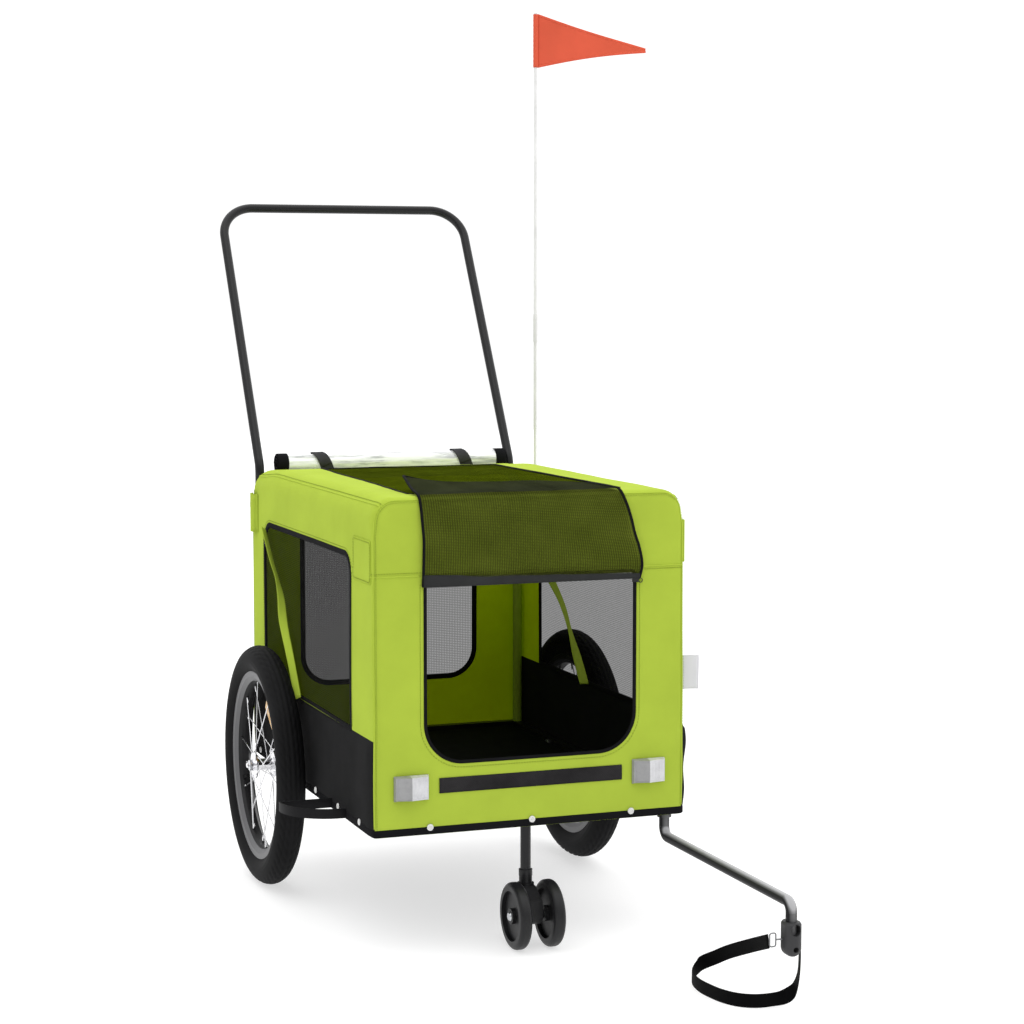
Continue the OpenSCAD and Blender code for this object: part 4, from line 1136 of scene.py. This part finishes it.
def build_rain_cover():
    """The clear cover, rolled up: a loose crinkled spiral with bound ends."""
    x0, x1 = ROLL_LOW.x + 0.002, ROLL_HIGH.x - 0.002
    cols, around = 150, 64
    verts, uvs = [], []
    for i in range(cols + 1):
        x = lerp(x0, x1, i / cols)
        pinch = sum(math.exp(-((x - s) / 0.012) ** 2) for s in ROLL_STRAP_X)
        for k in range(around):
            a = 2 * math.pi * k / around
            fold = noise.noise(Vector((x * 7.0, math.cos(a) * 2.6, math.sin(a) * 2.6)))
            crease = noise.noise(Vector((x * 40.0, math.cos(a) * 5.0, math.sin(a) * 5.0 + 4.0)))
            verts.append(round_roll(x, ROLL_R * (0.93 + 0.06 * fold + 0.035 * crease
                                                 - 0.05 * pinch), a))
            uvs.append((x, a * ROLL_R))
    faces = quads(cols + 1, around, loop_around=True)
    roll = joined_piece("rain_cover_roll", [(verts, faces, uvs)], "film")
    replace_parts(roll, "rain_cover")
    ends = []
    for x in (x0, x1):
        spiral = []
        for a in (0.19 * k for k in range(120)):
            r = ROLL_R * 0.90 - 0.0052 * a / (2 * math.pi)
            if r < 0.003:
                break
            spiral.append(round_roll(x, r, a))
        ends.append(sweep(spiral, X_AXIS, oval(0.0022, 0.0034, 8)))
    for x in (ROLL_LOW.x + 0.0105, ROLL_HIGH.x - 0.0095):
        angles = [2 * math.pi * k / 48 for k in range(48)]
        hoop = [round_roll(x, ROLL_R * 0.965, a) for a in angles]
        outward = [Vector((0, math.cos(a), math.sin(a))) for a in angles]
        ends.append(sweep(hoop, outward, oval(0.0190, 0.0022, 10, 0.4), True))
    joined_piece("rain_cover_hem", ends, "binding")


def build_roll_straps():
    """Two straps that hold the rolled rain cover against the cabin; they run a little askew."""
    parts = []
    for x in ROLL_STRAP_X:
        line = [Vector((x + 0.014, Y_REAR + 0.0012, z)) for z in (0.632, 0.645, 0.658)]
        for k in range(41):
            a = math.radians(lerp(196, -150, k / 40))
            slant = 0.012 * (1 - clamp(2 * abs(k / 40 - 0.30), 0, 1)) * 2 - 0.006
            line.append(round_roll(x + 0.008 - slant, ROLL_R + 0.0009, a))
        line = catmull(line, 2)
        parts.append(ribbon(line, [X_AXIS] * len(line), 0.022, 0.0015))
    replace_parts(joined_piece("rain_cover_ties", parts, "roll_strap"), "rain_cover_straps")


# ---------------- wheels

TYRE_SECTION_R = 0.024
TREAD_HALF_DEG = 52
TREAD_GROOVES_DEG = ((7, 11), (30, 33))
WALL_RIBS_DEG = ((66, 70), (80, 83), (95, 97))
SIPES_AROUND = 60
SPOKES = 20
NIPPLE_R = 0.1405


def tyre_radius(turn, a):
    """The section's radius at an angle a from the tread's middle, turn round the wheel."""
    r = TYRE_SECTION_R - 0.0004
    deg = abs(math.degrees(a))
    if deg < TREAD_HALF_DEG:
        r += 0.0002
        phase = turn * SIPES_AROUND / (2 * math.pi) + abs(a * TYRE_SECTION_R) * 90.0
        if phase % 1.0 < 0.22 and deg > 9:
            r -= 0.0012
        if any(low < deg < high for low, high in TREAD_GROOVES_DEG):
            r -= 0.0013
    elif any(low < deg < high for low, high in WALL_RIBS_DEG):
        r += 0.0004
    return r


def tyre_surface(centre, steps=300):
    """A tyre with ribbed sidewalls, a raised tread band and diagonal sipes."""
    angles = [math.radians(lerp(-142, 142, k / 56)) for k in range(57)]
    verts, uvs = [], []
    for i in range(steps):
        turn = 2 * math.pi * i / steps
        for a in angles:
            r = tyre_radius(turn, a)
            radial = TYRE_R - TYRE_SECTION_R + r * math.cos(a)
            verts.append(centre + Vector((r * math.sin(a) * 0.995, radial * math.cos(turn),
                                          radial * math.sin(turn))))
            uvs.append((turn * TYRE_R, a * TYRE_SECTION_R))
    return verts, quads(steps, len(angles), loop_rings=True), uvs


def build_wheel(side):
    sign = 1 if side == "left" else -1
    body = f"wheel_{side}"
    centre = Vector((sign * WHEEL_CENTRE.x, 0, WHEEL_CENTRE.z))
    tyre = joined_piece(f"tyre_tread_{side}", [tyre_surface(centre)], "tyre", body)
    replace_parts(tyre, f"tyre_{side}")
    nipples = []
    for i in range(SPOKES):
        a = 2 * math.pi * (i + 0.5) / SPOKES
        out = Vector((0, math.cos(a), math.sin(a)))
        base = centre + X_AXIS * sign * (1 if i % 2 == 0 else -1) * 0.0030 + out * NIPPLE_R
        line = [base - out * along for along in (0, 0.004, 0.010, 0.0125)]
        nipples.append(sweep(line, X_AXIS, oval(0.0042, 0.0042, 8, 1.0),
                             taper=lambda t: 1.0 - 0.35 * t))
    joined_piece(f"spoke_nipples_{side}", nipples, "chrome", body)


# ---------------- flag

POLE_X, POLE_Y = 0.270, 0.168
FLAG_LOW, FLAG_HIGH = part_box("flag")
FLAG_TIP_Z = 1.4235
FLAG_COLS, FLAG_ROWS = 46, 18


def flag_point(u, v):
    """u runs from the pole to the tip, v up the hoist, both from 0 to 1."""
    hoist = lerp(FLAG_LOW.z + 0.0015, FLAG_HIGH.z - 0.001, v)
    sag = (0.002 * v - 0.0045 * (1 - v)) * math.sin(math.pi * u)
    return (lerp(POLE_X + 0.0036, FLAG_HIGH.x - 0.0005, u),
            POLE_Y + 0.0032 * math.sin(5.0 * u + 0.6 * v) * u,
            lerp(hoist, FLAG_TIP_Z + (v - 0.5) * 0.004, u) - sag)


def build_flag():
    """A nylon pennant with a sewn sleeve and a slight wave."""
    cloth = grid(FLAG_COLS, FLAG_ROWS, flag_point)
    pennant = joined_piece("pennant_cloth", [cloth], "flag", "pennant")
    solidify(pennant, 0.0006)
    profile = [(lerp(FLAG_LOW.z, FLAG_HIGH.z, k / 24), 0.0040 + 0.0002 * math.sin(9.0 * k))
               for k in range(25)]
    sleeve = joined_piece("pennant_sleeve", [lathe(profile, 24, (POLE_X, POLE_Y, 0))], "flag",
                          "pennant")
    solidify(sleeve, 0.0006)
    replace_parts(pennant, "flag")
    edges = (cloth[0][:FLAG_COLS + 1], cloth[0][-FLAG_COLS - 1:])
    hem = joined_piece("pennant_hem", [sweep(edge, Y_AXIS, oval(0.0044, 0.0016, 8))
                                       for edge in edges], "flag", "pennant")


# ---------------- safety strap

# The same route as the CAD band, in metres. Down from the coupler each point has the direction
# of the webbing's width beside it, and along the ground and back up the webbing stands on edge.
STRAP_FALL = [
    ((0.2399, -0.9430, 0.1170), (0.35, 0.94, 0)),
    ((0.2406, -0.9430, 0.0920), (0.35, 0.94, 0)),
    ((0.2412, -0.9420, 0.0670), (0.35, 0.94, 0)),
    ((0.2402, -0.9410, 0.0460), (0.33, 0.94, 0.1)),
    ((0.2370, -0.9380, 0.0290), (0.2, 0.85, 0.4)),
    ((0.2315, -0.9340, 0.0185), (0, 0.6, 0.8)),
    ((0.2230, -0.9305, 0.0125), (0, 0.25, 1)),
]
STRAP_LOOP = [
    (0.2100, -0.9290, 0.0105), (0.1840, -0.9285, 0.0105), (0.1617, -0.9148, 0.0105),
    (0.1472, -0.8875, 0.0105), (0.1400, -0.8483, 0.0105), (0.1398, -0.8256, 0.0106),
    (0.1425, -0.8061, 0.0110), (0.1462, -0.7935, 0.0118), (0.1521, -0.7838, 0.0135),
    (0.1610, -0.7755, 0.0170), (0.1730, -0.7735, 0.0245), (0.1832, -0.7924, 0.0360),
    (0.1905, -0.8236, 0.0520), (0.1958, -0.8827, 0.0760), (0.1926, -0.9425, 0.0980),
]
STRAP_ROUTE = STRAP_FALL + [(p, (0, 0, 1)) for p in STRAP_LOOP]
STRAP_WIDTH = 0.020


def build_strap():
    """The webbing loop that hangs from the coupler to the ground and back to its ring."""
    line = catmull([p for p, _ in STRAP_ROUTE], 6)
    wides = [w.normalized() for w in catmull([Vector(w).normalized() for _, w in STRAP_ROUTE], 6)]
    band = ribbon(line, wides, STRAP_WIDTH, 0.0018, 14)
    strap = joined_piece("safety_strap_webbing", [band], "webbing", "hitch")
    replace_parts(strap, "safety_strap")
    parts = []
    for at in (4, 7):
        wide = wides[at]
        up = wide.cross((line[at + 1] - line[at]).normalized())
        for k in range(9):
            for face in (-0.0010, 0.0010):
                spot = line[at] + wide * lerp(-0.008, 0.008, k / 8) + up * face
                parts.append(sweep([spot - wide * 0.0007, spot + wide * 0.0007], up,
                                   oval(0.0007, 0.0006, 5)))
    stitches = joined_piece("safety_strap_stitches", parts, "tape", "hitch", "webbing")
    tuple(STRAP_ROUTE[0][0])
    round(line_length(line), 3)


# ---------------- stage

FLOOR_HALF = 12.0
# Each light's name, place, aim, width and power
LIGHTS = (("key", (-1.0, -1.6, 3.6), (0, -0.2, 0.4), 2.6, 14),
          ("fill", (3.2, -2.6, 2.2), (0, -0.2, 0.5), 2.6, 5))
# The light from all round: its level, and how much less comes from the -X side and from ahead
SKY_LEVEL, SKY_RIGHT, SKY_AHEAD = 1.03, 0.55, 0.68


def build_stage():
    """A plain pale floor, a sky that is brighter above and dimmer on two sides, two soft lights."""
    ends = (-FLOOR_HALF, FLOOR_HALF)
    data = bpy.data.meshes.new("studio_floor")
    data.from_pydata([(x, y, 0) for x in ends for y in ends], [], [(0, 2, 3, 1)])
    floor = new_object("studio_floor", data)
    white = Look("studio_white", (0.50, 0.50, 0.50), 0.9, specular=0.0)
    data.materials.append(glow(white.mat, (1, 1, 1), 0.60))
    floor.location.z = -0.0005
    world = bpy.data.worlds.new("studio")
    world.use_nodes = True
    tree = world.node_tree
    sky = tree.nodes["Background"]
    sky.inputs["Color"].default_value = (1, 1, 1, 1)
    way = tree.nodes.new("ShaderNodeSeparateXYZ")
    tree.links.new(tree.nodes.new("ShaderNodeTexCoord").outputs["Generated"], way.inputs[0])
    level = math_node(tree, "ADD", math_node(tree, "MAXIMUM", way.outputs["Z"], 0.0), SKY_LEVEL)
    for axis, share in (("X", SKY_RIGHT), ("Y", SKY_AHEAD)):
        toward = math_node(tree, "MINIMUM", way.outputs[axis], 0.0)
        level = math_node(tree, "ADD", level, math_node(tree, "MULTIPLY", toward, share))
    tree.links.new(level, sky.inputs["Strength"])
    bpy.context.scene.world = world
    for name, spot, target, width, power in LIGHTS:
        light = bpy.data.lights.new(name, "AREA")
        light.size = width
        light.energy = power
        obj = new_object(name, light)
        obj.location = spot
        obj.rotation_euler = (Vector(target) - Vector(spot)).to_track_quat("-Z", "Y").to_euler()
    view = bpy.context.scene.view_settings
    view.view_transform = "Standard"
    view.look = "None"


build_strap()
build_stage()
dress_frame()
build_cover()
build_window("left")
build_window("right", "near_window")
build_window("rear")
build_window("roof", "roof_net")
build_bindings()
build_seams()
build_stitches()
build_edge_tape()
build_flap()
build_hook_strip()
build_reflectors()
build_screws()
build_tie_straps()
build_side_loops()
build_corner_patches()
build_tag()
build_rain_cover()
build_roll_straps()
build_wheel("left")
build_wheel("right")
build_flag()
